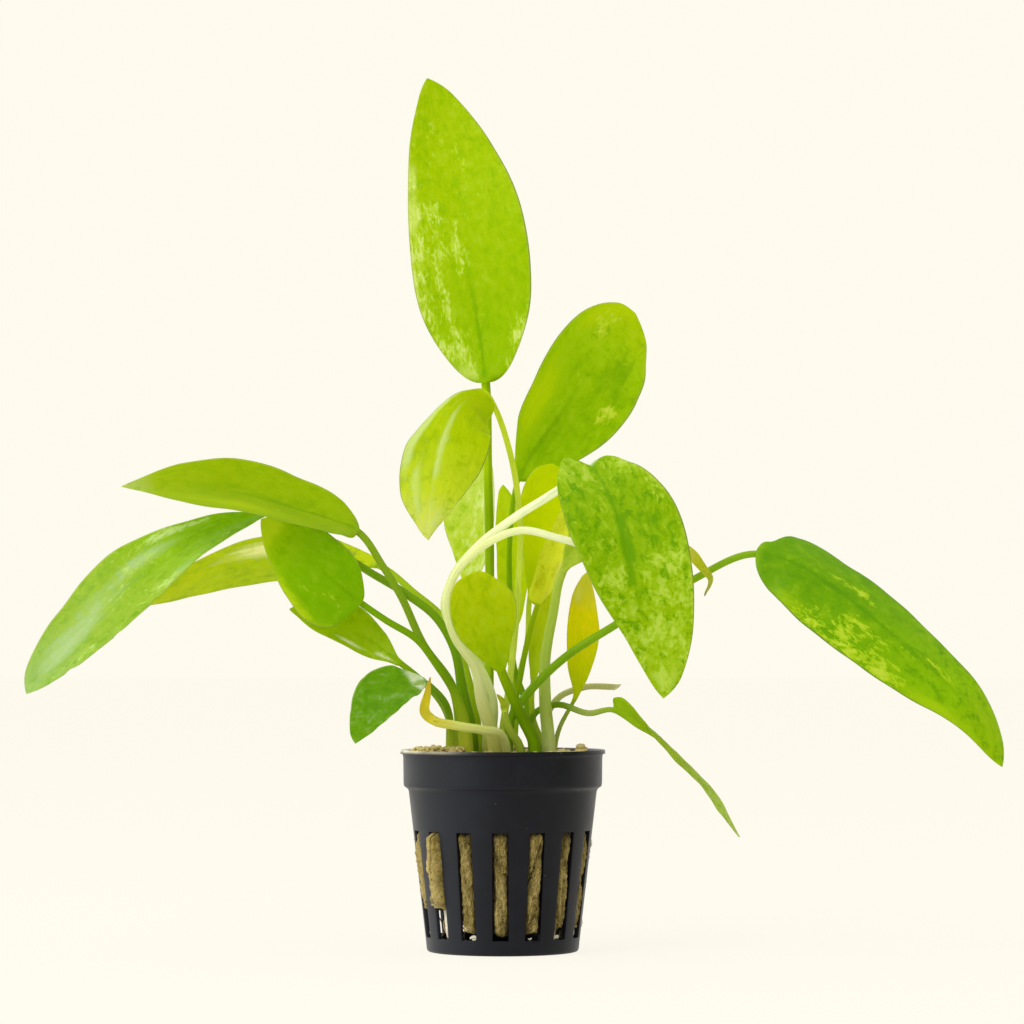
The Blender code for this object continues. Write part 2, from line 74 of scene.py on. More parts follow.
# How strong the surround is: behind the camera and beyond the plant, and what its left side adds.
SURROUND = (0.80, 1.50)
SURROUND_LEFT = 0.34
SURROUND_TINT = (1.0, 0.985, 0.95, 1.0)
SOFT_SIZE = (700.0, 900.0)
SOFT_PLACE = (-750.0, -750.0, 1050.0)
SOFT_TILT = (math.radians(50), 0, math.radians(-45))
SOFT_POWER = 11.0


def new_piece(name, points, faces):
    """A smooth mesh object, from points in millimetres and the corners of its faces."""
    mesh = bpy.data.meshes.new(name)
    mesh.from_pydata((points.reshape(-1, 3) * MM).tolist(), [], faces)
    mesh.shade_smooth()
    piece = bpy.data.objects.new(name, mesh)
    bpy.context.scene.collection.objects.link(piece)
    return piece


def note(piece, key, values):
    """Keeps three numbers with each point of a piece, for its colours."""
    layer = piece.data.attributes.new(key, "FLOAT_VECTOR", "POINT")
    layer.data.foreach_set("vector", values.astype(np.float32).ravel())


def surface(name, grid, closed=False, keep=None, caps=(), notes=None):
    """A piece made of four-cornered faces between neighbouring points of a grid of rows by columns
    by XYZ. closed joins the last column to the first, keep marks the faces that are wanted, caps
    lists the rows, 0 or -1, that are filled, and notes are values kept with points."""
    rows, columns, _ = grid.shape
    index = np.arange(rows * columns).reshape(rows, columns)
    after = np.roll(index, -1, axis=1)
    if not closed:
        index, after = index[:, :-1], after[:, :-1]
    quads = np.stack([index[:-1], after[:-1], after[1:], index[1:]], axis=-1)
    quads = quads.reshape(-1, 4) if keep is None else quads[keep]
    used, numbers = np.unique(quads, return_inverse=True)
    faces = numbers.reshape(-1, 4).tolist()
    for row in caps:
        rim = np.searchsorted(used, index[row])
        faces.append((rim if row else rim[::-1]).tolist())
    piece = new_piece(name, grid.reshape(-1, 3)[used], faces)
    for key, values in (notes or {}).items():
        note(piece, key, values.reshape(-1, 3)[used])
    return piece


def turned(radius, angle, height):
    """Points at a radius from the Z axis, an angle round it and a height: x = radius * cos(angle)
    and y = radius * sin(angle)."""
    return np.stack(np.broadcast_arrays(radius * np.cos(angle), radius * np.sin(angle), height), axis=-1)


def plain_shader(name):
    """A new material, its node tree and its principled shader."""
    finish = bpy.data.materials.new(name)
    finish.use_nodes = True
    tree = finish.node_tree
    return finish, tree, tree.nodes["Principled BSDF"]


def give(tree, made, values):
    """Sets inputs by name or number: a number or a colour is kept there, and a socket of another
    node is joined to it."""
    for key, value in dict(values).items():
        if isinstance(value, bpy.types.NodeSocket):
            tree.links.new(value, made.inputs[key])
        else:
            made.inputs[key].default_value = value


def node(tree, kind, values=(), **settings):
    """A node of that kind, with its settings and what its inputs are given."""
    made = tree.nodes.new(kind)
    for key, value in settings.items():
        setattr(made, key, value)
    give(tree, made, values)
    return made


def maths(tree, how, first, second=0.0, third=0.0, clamp=False):
    inputs = {0: first, 1: second, 2: third}
    return node(tree, "ShaderNodeMath", inputs, operation=how, use_clamp=clamp).outputs[0]


def parts(tree, vector):
    """A vector's outputs X, Y and Z."""
    return node(tree, "ShaderNodeSeparateXYZ", {0: vector}).outputs


def spread(tree, value, start, end):
    """A value from -1 to 1 turned into one from start to end."""
    values = {"Value": value, "From Min": -1.0, "From Max": 1.0, "To Min": start, "To Max": end}
    return node(tree, "ShaderNodeMapRange", values).outputs[0]


circle = np.radians(np.arange(0, 360, 5))[None]
rings = turned(np.array([[TABLE_REACH], [1.0]]), circle, TABLE_LEVEL)
table = surface("table", rings, closed=True, caps=(-1,))
table_finish, tree, shader = plain_shader("pale table")
glow = node(tree, "ShaderNodeEmission", {"Color": CREAM, "Strength": TABLE_GLOW}).outputs[0]
matt = node(tree, "ShaderNodeBsdfDiffuse", {"Color": CREAM}).outputs[0]
both = node(tree, "ShaderNodeMixShader", {0: TABLE_GLOW_SHARE, 1: matt, 2: glow}).outputs[0]
give(tree, tree.nodes["Material Output"], {0: both})
tree.nodes.remove(shader)
table.data.materials.append(table_finish)
table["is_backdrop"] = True

world = bpy.data.worlds.new("studio")
bpy.context.scene.world = world
world.use_nodes = True
tree = world.node_tree
# The way a ray travels: +Y is towards the bright wall behind the plant.
way = parts(tree, node(tree, "ShaderNodeTexCoord").outputs["Generated"])
from_left = spread(tree, way["X"], SURROUND_LEFT, -SURROUND_LEFT)
strength = maths(tree, "ADD", spread(tree, way["Y"], *SURROUND), from_left)
light = node(tree, "ShaderNodeBackground", {"Color": SURROUND_TINT, "Strength": strength})
behind = node(tree, "ShaderNodeBackground", {"Color": CREAM, "Strength": 1.0})
first_look = node(tree, "ShaderNodeLightPath").outputs["Is Camera Ray"]
both = node(tree, "ShaderNodeMixShader", {0: first_look, 1: light.outputs[0], 2: behind.outputs[0]})
give(tree, tree.nodes["World Output"], {0: both.outputs[0]})

soft = bpy.data.lights.new("soft light", "AREA")
soft.shape = "RECTANGLE"
soft.size, soft.size_y = [value * MM for value in SOFT_SIZE]
soft.energy = SOFT_POWER
soft_light = bpy.data.objects.new("soft light", soft)
soft_light.location = [value * MM for value in SOFT_PLACE]
soft_light.rotation_euler = SOFT_TILT
bpy.context.scene.collection.objects.link(soft_light)

lens = bpy.data.cameras.new("camera")
lens.lens = LENS
lens.sensor_width = 36
lens.clip_end = 50
camera = bpy.data.objects.new("camera", lens)
camera.location = [value * MM for value in CAMERA]
camera.rotation_euler = (math.pi / 2 + CAMERA_RISE, 0, 0)
bpy.context.scene.collection.objects.link(camera)
bpy.context.scene.camera = camera
bpy.context.scene.view_settings.view_transform = "Standard"

# ---------------------------------------------------------------------------------------------
# The net pot: one moulding of charcoal polypropylene. A thin lip is turned out over a straight
# band, a small step leads to the tapered wall, and fifteen upright slots let the roots out.

WALL = 1.0
SLOTS = 15
SLOT_WIDTH = 4.2
SLOT_ENDS = (3.9, 31.6)
SLOT_TURN = math.radians(-91.5)
SLOT_COLUMNS = 6
RIB_COLUMNS = 8
# The outer side from the foot up, as (radius, height). The tapered wall starts at point TAPER.
TAPER = 6
POT_OUTLINE = np.array([
    (18.5, 0.0), (19.0, 0.0), (19.35, 0.08), (19.62, 0.3), (19.8, 0.72), (19.87, 1.3), (19.98, 2.5),
    (24.28, 39.6), (24.45, 41.1), (24.55, 41.7), (24.75, 42.15), (25.1, 42.5), (25.5, 42.75),
    (25.75, 43.0), (25.87, 43.4), (25.9, 44.0), (25.98, 50.0), (26.02, 50.7), (26.12, 51.15),
    (26.35, 51.35), (26.6, 51.4), (26.78, 51.42),
])
WALL_STEP = 2.5
WALL_BEVEL = 0.16
FLOOR_THICK = 1.2
FLOOR_LEVEL = 0.01
FLOOR_RADII = (0.6, 2.2, 2.3, 4.5, 7.0, 15.0, 17.0, 18.6)
FLOOR_STEP = 2.0
FLOOR_BEVEL = 0.1
DRAINS = 6
DRAIN_WIDTH = 2.4
DRAIN_ENDS = (7.0, 15.0)
DRAIN_TURN = math.radians(-60)
DRAIN_COLUMNS = 4
FLOOR_COLUMNS = 14
# A shallow dimple marks where the plastic went in, under the middle.
DIMPLE = 0.35
DIMPLE_RADIUS = 2.25


def walked(points):
    """How far along a line each of its points is."""
    return np.concatenate([[0], np.cumsum(np.linalg.norm(np.diff(points, axis=0), axis=1))])


def between(stops, values, most):
    """Stops with more put between them, evenly, so that no step is over `most`."""
    full = np.concatenate([
        np.linspace(low, high, max(1, math.ceil(abs(high - low) / most)), endpoint=False)
        for low, high in zip(stops[:-1], stops[1:])
    ] + [[stops[-1]]])
    return full, np.interp(full, stops, values)


def slotted(radii, heights, count, width, start, inner, outer):
    """A turned surface whose columns keep to the sides of evenly spaced slots of equal width. A
    slot's side is at asin(half width / radius) from its middle, at every height."""
    sector = 2 * math.pi / count
    half = np.arcsin(width / 2 / np.clip(radii, width * 1.5, None))[:, None]
    in_slot = np.linspace(-1, 1, inner, endpoint=False)[None] * half
    in_rib = half + np.linspace(0, 1, outer, endpoint=False)[None] * (sector - 2 * half)
    one = np.concatenate([in_slot, in_rib], axis=1)
    angle = (start + sector * np.arange(count)[None, :, None] + one[:, None]).reshape(len(radii), -1)
    slot_column = np.tile(np.arange(inner + outer) < inner, count)
    return turned(radii[:, None], angle, heights[:, None]), slot_column


def opened(name, grid, slot_column, steps, ends, caps=()):
    """A slotted surface without its faces in the slots, between the two ends along its steps."""
    middle = (steps[1:] + steps[:-1]) / 2
    open_rows = (middle > ends[0]) & (middle < ends[1])
    keep = ~(open_rows[:, None] & slot_column[None])
    return surface(name, grid, closed=True, keep=keep, caps=caps)


def wall_of(piece, thickness, bevel):
    """Gives an open surface its thickness, inwards, and rounds the edges that this makes."""
    shell = piece.modifiers.new("wall", "SOLIDIFY")
    shell.thickness = thickness * MM
    shell.offset = -1
    shell.use_even_offset = True
    edge = piece.modifiers.new("edge", "BEVEL")
    edge.width = bevel * MM
    edge.segments = 2
    edge.limit_method = "ANGLE"
    edge.angle_limit = math.radians(50)
    edge.harden_normals = False


walk = walked(POT_OUTLINE)
wall_start, wall_end = POT_OUTLINE[TAPER:TAPER + 2]
slot_walk = np.interp(SLOT_ENDS, (wall_start[1], wall_end[1]), walk[TAPER:TAPER + 2])
stops = np.sort(np.concatenate([walk, slot_walk]))
stops, heights = between(stops, np.interp(stops, walk, POT_OUTLINE[:, 1]), WALL_STEP)
radii = np.interp(stops, walk, POT_OUTLINE[:, 0])
grid, slot_column = slotted(radii, heights, SLOTS, SLOT_WIDTH, SLOT_TURN, SLOT_COLUMNS, RIB_COLUMNS)
pot = opened("net_pot_wall", grid, slot_column, stops, slot_walk)
wall_of(pot, WALL, WALL_BEVEL)

radii, _ = between(FLOOR_RADII, FLOOR_RADII, FLOOR_STEP)
heights = FLOOR_LEVEL + DIMPLE * (radii < DIMPLE_RADIUS)
grid, slot_column = slotted(
    radii, heights, DRAINS, DRAIN_WIDTH, DRAIN_TURN, DRAIN_COLUMNS, FLOOR_COLUMNS
)
pot_floor = opened("net_pot_floor", grid, slot_column, radii, DRAIN_ENDS, caps=(0,))
wall_of(pot_floor, FLOOR_THICK, FLOOR_BEVEL)


def blend(tree, share, under, over):
    """Colour `over` laid on colour `under` in the given share."""
    return node(tree, "ShaderNodeMix", {0: share, 6: under, 7: over}, data_type="RGBA").outputs[2]


def ease(tree, value, low, high):
    """0 below low, 1 above high, and a smooth rise between them."""
    values = {"Value": value, "From Min": low, "From Max": high}
    return node(tree, "ShaderNodeMapRange", values, interpolation_type="SMOOTHSTEP").outputs[0]


def noise(tree, place, scale, detail=2.0, rough=0.5, twist=0.0, seed=None):
    """Layered noise at a place, near 0.5 on the whole. A seed draws it in four dimensions."""
    values = {"Vector": place, "Scale": scale, "Detail": detail, "Roughness": rough, "Distortion": twist}
    if seed is None:
        return node(tree, "ShaderNodeTexNoise", values).outputs[0]
    values["W"] = seed
    return node(tree, "ShaderNodeTexNoise", values, noise_dimensions="4D").outputs[0]


def own_place(tree):
    return node(tree, "ShaderNodeTexCoord").outputs["Object"]


def bump(tree, height, strength, distance):
    """A normal from a height, with the distance in millimetres."""
    values = {"Height": height, "Strength": strength, "Distance": distance * MM}
    return node(tree, "ShaderNodeBump", values).outputs[0]


def new_group(name, vectors, numbers, results):
    """A node group with its inputs, vectors and numbers, and its results, which are numbers."""
    group = bpy.data.node_groups.new(name, "ShaderNodeTree")
    sockets = [(key, "INPUT", "Vector") for key in vectors] + [(key, "INPUT", "Float") for key in numbers]
    for key, way, kind in sockets + [(key, "OUTPUT", "Float") for key in results]:
        group.interface.new_socket(key, in_out=way, socket_type="NodeSocket" + kind)
    return group, node(group, "NodeGroupInput").outputs


def build_grain():
    """A node group for fine grain: layered noise at a given size, its height and its light specks."""
    group, given = new_group("fine grain", ["Place"], ["Scale", "Specks"], ["Height", "Cloud", "Speck"])
    wide = maths(group, "MULTIPLY", given["Scale"], 0.06)
    dots = noise(group, given["Place"], maths(group, "MULTIPLY", given["Scale"], 0.35))
    limit = maths(group, "SUBTRACT", 0.86, maths(group, "MULTIPLY", given["Specks"], 0.2))
    node(group, "NodeGroupOutput", {
        "Height": noise(group, given["Place"], given["Scale"], 4.0, 0.6),
        "Cloud": noise(group, given["Place"], wide, 3.0),
        "Speck": ease(group, dots, limit, maths(group, "ADD", limit, 0.03)),
    })
    return group


def seen(red, green, blue, alpha=1.0):
    """A colour given as a screen shows it, from 0 to 255, turned into the linear light that a
    shader takes: c / 12.92 for dark values, and ((c + 0.055) / 1.055) ** 2.4 for the rest."""
    shown = np.array([red, green, blue], float) / 255
    linear = np.where(shown <= 0.04045, shown / 12.92, ((shown + 0.055) / 1.055) ** 2.4)
    return (*linear.tolist(), alpha)


POT_CHARCOAL = seen(6, 8, 17)
POT_WORN = seen(19, 22, 31)
POT_DUST = seen(128, 126, 112)
POT_PAINTED_LIGHT_LEFT = seen(42, 45, 52)
POT_LIP_HIGHLIGHT = seen(222, 214, 188)
pot_finish, tree, shader = plain_shader("charcoal plastic")
spot = own_place(tree)
values = {"Place": spot, "Scale": 2600.0, "Specks": 0.55}
grain = node(tree, "ShaderNodeGroup", values, node_tree=build_grain()).outputs
worn = maths(tree, "MULTIPLY", ease(tree, grain["Cloud"], 0.42, 0.68), 0.35)
body = blend(tree, worn, POT_CHARCOAL, POT_WORN)
body = blend(tree, maths(tree, "MULTIPLY", grain["Speck"], 0.5), body, POT_DUST)
# The left side is painted a lighter grey as painted light from the left, and the lip's upper edge there
# gets a patchy painted highlight.
place = parts(tree, spot)
body = blend(tree, maths(tree, "MULTIPLY", ease(tree, place["X"], 0.002, -0.02), 0.8), body, POT_PAINTED_LIGHT_LEFT)
# Painted highlight on the lip's upper edge at the left, broken up in patches.
upper = ease(tree, place["Z"], 0.0514, 0.0522)
lip_highlight = maths(tree, "MULTIPLY", upper, ease(tree, place["X"], -0.006, -0.025))
patchy = maths(tree, "MULTIPLY_ADD", grain["Cloud"], 1.9, -0.25, clamp=True)
body = blend(tree, maths(tree, "MULTIPLY", lip_highlight, patchy), body, POT_LIP_HIGHLIGHT)
give(tree, shader, {
    "Base Color": body, "Specular IOR Level": 0.2,
    "Roughness": maths(tree, "MULTIPLY_ADD", grain["Cloud"], 0.2, 0.3),
    "Normal": bump(tree, grain["Height"], 0.25, 0.05),
})
for piece in (pot, pot_floor):
    piece.data.materials.append(pot_finish)
    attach(piece, "root")
    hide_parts("net_pot")

# ---------------------------------------------------------------------------------------------
# The rockwool: a plug of spun mineral fibre, pressed into the pot wet. It is folded upright where
# it is squeezed, swells out into the slots, and ends ragged a little above the pot's floor.

rng = np.random.default_rng(20)
SECTOR = 2 * math.pi / SLOTS
FOOT_RADIUS = 19.8
PLUG_TOP = 51.5
PLUG_RADIUS = 22
PLUG_TURN_STEPS = 520
PLUG_SIDE_STEPS = 130
PLUG_FLAT_STEPS = 18
# How high the plug's lower edge is over each slot, from the front one round to the right.
PLUG_FOOT = [5.0, 5.6, 6.4, 6.0, 5.4, 6.6, 5.0, 6.4, 8.4, 11.0, 11.6, 11.4, 11.4, 12.2, 5.9]
PLUG_FOOT_MIDDLE = 9.0
# How far the wool swells out of each slot, and how much lighter it is there.
PLUG_SWELL = [0.55, 0.7, 0.35, 0.3, 0.5, 0.6, 0.4, 0.5, 0.7, 0.4, 0.6, 0.5, 0.8, 2.6, 0.45]
PLUG_LIGHT = [0.08, 0.0, 0.02, -0.02, 0.05, 0, 0.1, 0.02, 0.12, 0, 0.08, 0, 0.5, 0.85, -0.06]
# The slot where it swells out most, and the height at which it does so.
SPLIT_SLOT = 13
SPLIT_HEIGHT = 22.6
# The lengths, across and upwards, of the waves that crease, tuft and roughen the wool.
CREASES = (5.5, 5.5, 22)
TUFTS = (2.6, 2.6, 6)
FUZZ = (0.9, 0.9, 1.3)
# How far the wool keeps inside the wall, and the share of the wall that it fills in a slot.
WOOL_GAP = 0.25
WOOL_FILL = 0.55
# A slot as the wool sees it: half its width, and the heights at which it ends.
WINDOW_HALF = 1.85
WINDOW_ENDS = (3.4, 31.8)


def waves(points, size, count, seed):
    """A smooth uneven value from about -1 to 1 at each point: the sum of `count` sine waves of
    random direction, with lengths near `size` in millimetres on each axis."""
    draw = np.random.default_rng(seed)
    total = np.zeros(points.shape[:-1])
    for _ in range(count):
        direction = draw.normal(size=3)
        direction *= 2 * math.pi / np.array(size) * draw.uniform(0.6, 1.4) / np.linalg.norm(direction)
        total += np.sin(points @ direction + draw.uniform(0, 2 * math.pi))
    return total / math.sqrt(count / 2)


def inner_wall(height):
    return FOOT_RADIUS - WALL + (wall_end[0] - wall_start[0]) * height / (wall_end[1] - wall_start[1])


def torn(slot, offset, height):
    """How near a place is to the tear down the middle of the slot where the wool swells most."""
    aside = (offset - 0.5 * np.sin(height / 4)) / 0.28
    return (slot == SPLIT_SLOT) * np.exp(-(aside**2)) * np.clip((height - 14) / 4, 0, 1)


def wool_side(angle, height):
    """The wool's radius at an angle and height, and its painted shade there: darker in creases, tufts and
    the tear, behind the pot's wall and near a slot's top, and lighter by the slot's PLUG_LIGHT. It keeps
    inside the wall, goes in by ridged waves that are long upwards, and swells where a slot is open."""
    place = turned(PLUG_RADIUS, angle, height)
    crease_and_shade = np.clip(1 - np.abs(waves(place, CREASES, 9, 3)), 0, 1) ** 7
    tuft = waves(place, TUFTS, 10, 4)
    fuzz = waves(place, FUZZ, 14, 5)
    number = np.round((angle - SLOT_TURN) / SECTOR)
    offset = (angle - SLOT_TURN - number * SECTOR) * PLUG_RADIUS
    slot = number.astype(int) % SLOTS
    # The window is 1 where a slot is open and 0 behind the pot's wall.
    window = np.clip(1.2 - (np.abs(offset) / WINDOW_HALF) ** 3, 0, 1)
    window = window * np.clip((WINDOW_ENDS[1] - height) / 1.6, 0, 1)
    window = window * np.clip((height - WINDOW_ENDS[0]) / 2.0, 0, 1)
    swell = np.array(PLUG_SWELL)[slot] + 0.13 * waves(place, (3, 3, 9), 6, 6)
    split = slot == SPLIT_SLOT
    swell = swell + 0.6 * split * np.exp(-(((height - SPLIT_HEIGHT) / 2.4) ** 2))
    tear = torn(slot, offset, height)
    depth = 0.8 * crease_and_shade + 0.4 * (1 - tuft) / 2 + 0.7 * tear
    swell = window * (WALL * WOOL_FILL + swell)
    radius = inner_wall(height) - WOOL_GAP - depth + swell + 0.13 * fuzz
    # Painted shade: creases, tufts, the tear, the wall's edges and a slot's top are darker.
    shade = 0.6 * crease_and_shade + 0.25 * np.clip(-tuft, 0, 1) + 0.15 * np.clip(-fuzz, 0, 1)
    shade = shade + 1.3 * tear + 0.6 * (1 - window) + 0.3 * np.clip((height - 26) / 5, 0, 1)
    # Painted shade: the torn wool is darker on the right of its tear than on the left.
    shade = shade + 0.36 * split * np.tanh(offset / 0.5)
    return radius, shade - np.array(PLUG_LIGHT)[slot]


def wool_foot(angle):
    """The height of the plug's ragged lower edge: it runs smoothly from slot to slot."""
    place = (angle - SLOT_TURN) / SECTOR % SLOTS
    heights = np.array(PLUG_FOOT + PLUG_FOOT[:1])
    low = np.floor(place).astype(int)
    t = np.clip((place - low - 0.2) / 0.6, 0, 1)
    t = t * t * (3 - 2 * t)
    ragged = 0.5 * np.sin(angle * 23) * np.sin(angle * 9 + 1)
    return heights[low] * (1 - t) + heights[low + 1] * t + ragged


angle = np.linspace(0, 2 * math.pi, PLUG_TURN_STEPS, endpoint=False)[None]
foot = wool_foot(angle)
share = np.linspace(0, 1, PLUG_SIDE_STEPS)[:, None]
side_height = foot * (1 - share) + (PLUG_TOP - 0.9) * share
# The second value is the wool's painted shade, which is kept with its points.
side, crease_and_shade = wool_side(angle, side_height)
# The lower and upper edges round over, onto a ragged underside and an uneven top.
side = side - 2.2 * np.exp(-(side_height - foot) / 1.1) - 0.7 * np.exp(-(PLUG_TOP - side_height) / 0.9)
shrink = np.linspace(0.01, 0.97, PLUG_FLAT_STEPS)[:, None]
under = shrink * side[0]
under_height = PLUG_FOOT_MIDDLE + (foot - PLUG_FOOT_MIDDLE) * shrink**0.7
over = shrink[::-1] * side[-1]
over_place = turned(over, angle, 0.0)
uneven = 0.45 * waves(over_place, (7, 7, 7), 8, 7) + 0.25 * waves(over_place, (2, 2, 2), 8, 8)
height = np.concatenate([under_height, side_height, PLUG_TOP - 0.5 + uneven])
# The underside is painted in shade, and the top is lighter on the whole, with its creases.
top_painted_shade = 0.25 * waves(over_place, (3, 3, 3), 8, 9) - 0.25
crease_and_shade = np.concatenate([0.7 + 0 * under, crease_and_shade, top_painted_shade])
grid = turned(np.concatenate([under, side, over]), angle, height)
notes = {"painted_wool_shade": crease_and_shade[..., None] * (1.0, 0.0, 0.0)}
wool = surface("rockwool", grid, closed=True, caps=(0, -1), notes=notes)

WOOL_STOPS = [
    (0.02, seen(40, 34, 18)), (0.22, seen(84, 71, 32)), (0.48, seen(138, 120, 56)),
    (0.7, seen(194, 172, 94)), (0.95, seen(228, 208, 140)),
]


def ramp(tree, share, stops):
    """The colour at a place along a row of (place, colour) stops, given in order."""
    made = node(tree, "ShaderNodeValToRGB", {0: share})
    band = made.color_ramp
    band.elements.remove(band.elements[1])
    band.elements[0].position, band.elements[0].color = stops[0]
    for place, colour in stops[1:]:
        band.elements.new(place).color = colour
    return made.outputs[0]


def noted(tree, key):
    """What is kept with the points under that name."""
    return node(tree, "ShaderNodeAttribute", attribute_name=key).outputs["Vector"]


def build_felt():
    """A node group for felted fibre: Tone is how light it is, less the painted shade that it is given, and
    Height its relief. Threads that run all ways are the narrow bands where a twisted noise passes its
    middle value."""
    group, given = new_group("felted fibre", ["Place"], ["Depth"], ["Tone", "Height"])
    long = {"Vector": given["Place"], "Scale": (1.0, 1.0, 0.6)}
    long = node(group, "ShaderNodeMapping", long).outputs[0]
    cloud = noise(group, given["Place"], 330.0, 5.0, 0.7)
    threads = 0.0
    for scale, twist in ((620.0, 1.6), (1100.0, 2.2)):
        band = maths(group, "SUBTRACT", noise(group, long, scale, twist=twist), 0.5)
        threads = maths(group, "ADD", ease(group, maths(group, "ABSOLUTE", band), 0.035, 0.0), threads)
    grain = noise(group, long, 2600.0, 3.0)
    tone = maths(group, "MULTIPLY_ADD", cloud, 0.7, maths(group, "MULTIPLY", threads, 0.13))
    tone = maths(group, "MULTIPLY_ADD", grain, 0.35, tone)
    node(group, "NodeGroupOutput", {
        "Tone": maths(group, "SUBTRACT", tone, maths(group, "MULTIPLY", given["Depth"], 0.45)),
        "Height": maths(group, "MULTIPLY_ADD", threads, 0.4, maths(group, "ADD", grain, cloud)),
    })
    return group


FELT = build_felt()


def wool_shader(name, lighten):
    """Matt felted fibre with painted shade: pale where it stands out, khaki between and dark in the folds.
    """
    finish, tree, shader = plain_shader(name)
    values = {"Place": own_place(tree), "Depth": parts(tree, noted(tree, "painted_wool_shade"))["X"]}
    felt = node(tree, "ShaderNodeGroup", values, node_tree=FELT).outputs
    tone = maths(tree, "ADD", felt["Tone"], lighten)
    give(tree, shader, {
        "Base Color": ramp(tree, tone, WOOL_STOPS), "Roughness": 0.95, "Specular IOR Level": 0.15,
        "Sheen Weight": 0.1, "Normal": bump(tree, felt["Height"], 0.8, 0.3),
    })
    return finish


wool.data.materials.append(wool_shader("mineral wool", -0.08))
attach(wool, "root")
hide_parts("rockwool_plug")

# ---------------------------------------------------------------------------------------------
# What is loose on the wool: single fibres that lie on it in the slots, crumbs that were torn off
# and lie on top, and roots, tan ones and white young ends, that hang out below the plug. The white
# ends stand where bright glints show at the slots' feet, and are partly painted glints.

FIBRES = 4200
FIBRE_POINTS = 6
FIBRE_SIDES = 3
FIBRE_RADIUS = 0.055
FIBRE_ASIDE = 1.7
FIBRE_SPREAD = 1.6
FIBRE_HEIGHTS = (6.5, 31.0)
FIBRE_LENGTHS = (1.5, 5.5)
FIBRE_LEAN = 0.55
CRUMB_TURNS = 8
CRUMB_ROWS = 6
CRUMB_FLAT = (1.25, 1.25, 0.8)
CRUMB_SIZES = (0.35, 1.0)
CRUMB_STRETCH = (0.7, 1.3)
CRUMB_DENTS = (0.72, 1.25)
ROOT_POINTS = 16
ROOT_SIDES = 6
ROOT_CIRCLE = 19
ROOT_END = 1.7
# Heaps of crumbs on the plug: x, y, how far they spread each way, how high, and how many.
CRUMB_HEAPS = [
    (-20.5, 2.0, 3.5, 4.0, 1.1, 60), (-15.0, 3.0, 3.4, 6.0, 1.2, 70), (3.7, 6.0, 1.0, 4.0, 1.7, 26),
    (20.4, 1.0, 0.8, 1.2, 1.9, 12), (-14.2, -12.0, 3.4, 2.4, 1.9, 60),
    (0.0, -14.0, 14.0, 7.0, 0.0, 110), (2.0, 14.0, 15.0, 7.0, 0.1, 210), (15.0, -2.0, 6.0, 8.0, 0.0, 70),
]
# Roots: where each leaves the plug (slot number, aside in mm, height), its sag and its thickness.
ROOTS = np.array([
    (13, -0.9, 14, 1.5, 0.32), (13, -0.2, 13, -1.2, 0.24), (13, 0.6, 13.5, 0.9, 0.2),
    (13, 1.2, 12, 2.0, 0.26), (13, 0.2, 14.5, 2.6, 0.16), (12, 1.4, 7.5, -1.8, 0.2),
    (2, -0.8, 9, 2.2, 0.3), (2, 0.4, 8, -0.8, 0.2), (4, 0.1, 7, 1.1, 0.24), (6, 0.9, 7.5, -1.3, 0.22),
    (8, -0.5, 8, 1.6, 0.3), (9, 0.5, 7, -1.0, 0.2), (10, 0.0, 8, 1.2, 0.24), (5, 0.3, 8.5, 1.0, 0.2),
    (7, -0.2, 7.5, -1.4, 0.26),
])
# Young root ends are white and thick, and partly painted glints at the slots' feet: slot number,
# then aside and height at both ends, and radius.
YOUNG_ROOTS_AS_GLINTS = np.array([
    (14, -0.3, 4.6, 1.8, 4.8, 0.5), (14, 0.4, 4.2, 1.6, 4.3, 0.4), (2, -1.5, 4.2, 1.0, 4.5, 0.42),
    (2, -0.6, 5.0, 1.2, 4.6, 0.3), (3, 0.4, 4.1, 0.9, 6.0, 0.45), (13, 0.3, 4.0, 0.1, 11.5, 0.4),
    (13, 1.2, 4.2, 0.8, 12.0, 0.5), (1, -0.8, 4.4, 0.3, 4.4, 0.25), (6, -1.2, 4.6, 1.0, 4.4, 0.4),
    (8, -0.5, 4.4, 0.4, 6.2, 0.4), (11, -1.0, 4.4, 0.9, 4.9, 0.4),
])


def bodies(name, rings):
    """Many closed bodies in one piece, from bodies by rings by corners by XYZ, with filled ends."""
    index = np.arange(rings.size // 3).reshape(rings.shape[:3])
    after = np.roll(index, -1, axis=2)
    quads = np.stack([index[:, :-1], after[:, :-1], after[:, 1:], index[:, 1:]], -1).reshape(-1, 4)
    return new_piece(name, rings, quads.tolist() + index[:, 0, ::-1].tolist() + index[:, -1].tolist())


def unit(vectors):
    return vectors / np.linalg.norm(vectors, axis=-1, keepdims=True)


def strands(name, paths, radii, sides):
    """Many thin tubes at once. paths is strands by points by XYZ; each tube's rings stand square
    to its path, on two directions found with cross products, and both ends narrow to a point."""
    ahead = unit(np.gradient(paths, axis=1))
    first = unit(np.cross(ahead, (0.31, 0.87, 0.37)))
    second = np.cross(ahead, first)
    taper = np.sin(np.linspace(0.12, math.pi - 0.12, paths.shape[1])) ** 0.4
    radius = (radii[:, None] * taper[None])[..., None, None]
    turn = 2 * math.pi * np.arange(sides) / sides
    around = np.cos(turn)[:, None] * first[:, :, None] + np.sin(turn)[:, None] * second[:, :, None]
    return bodies(name, paths[:, :, None] + radius * around)


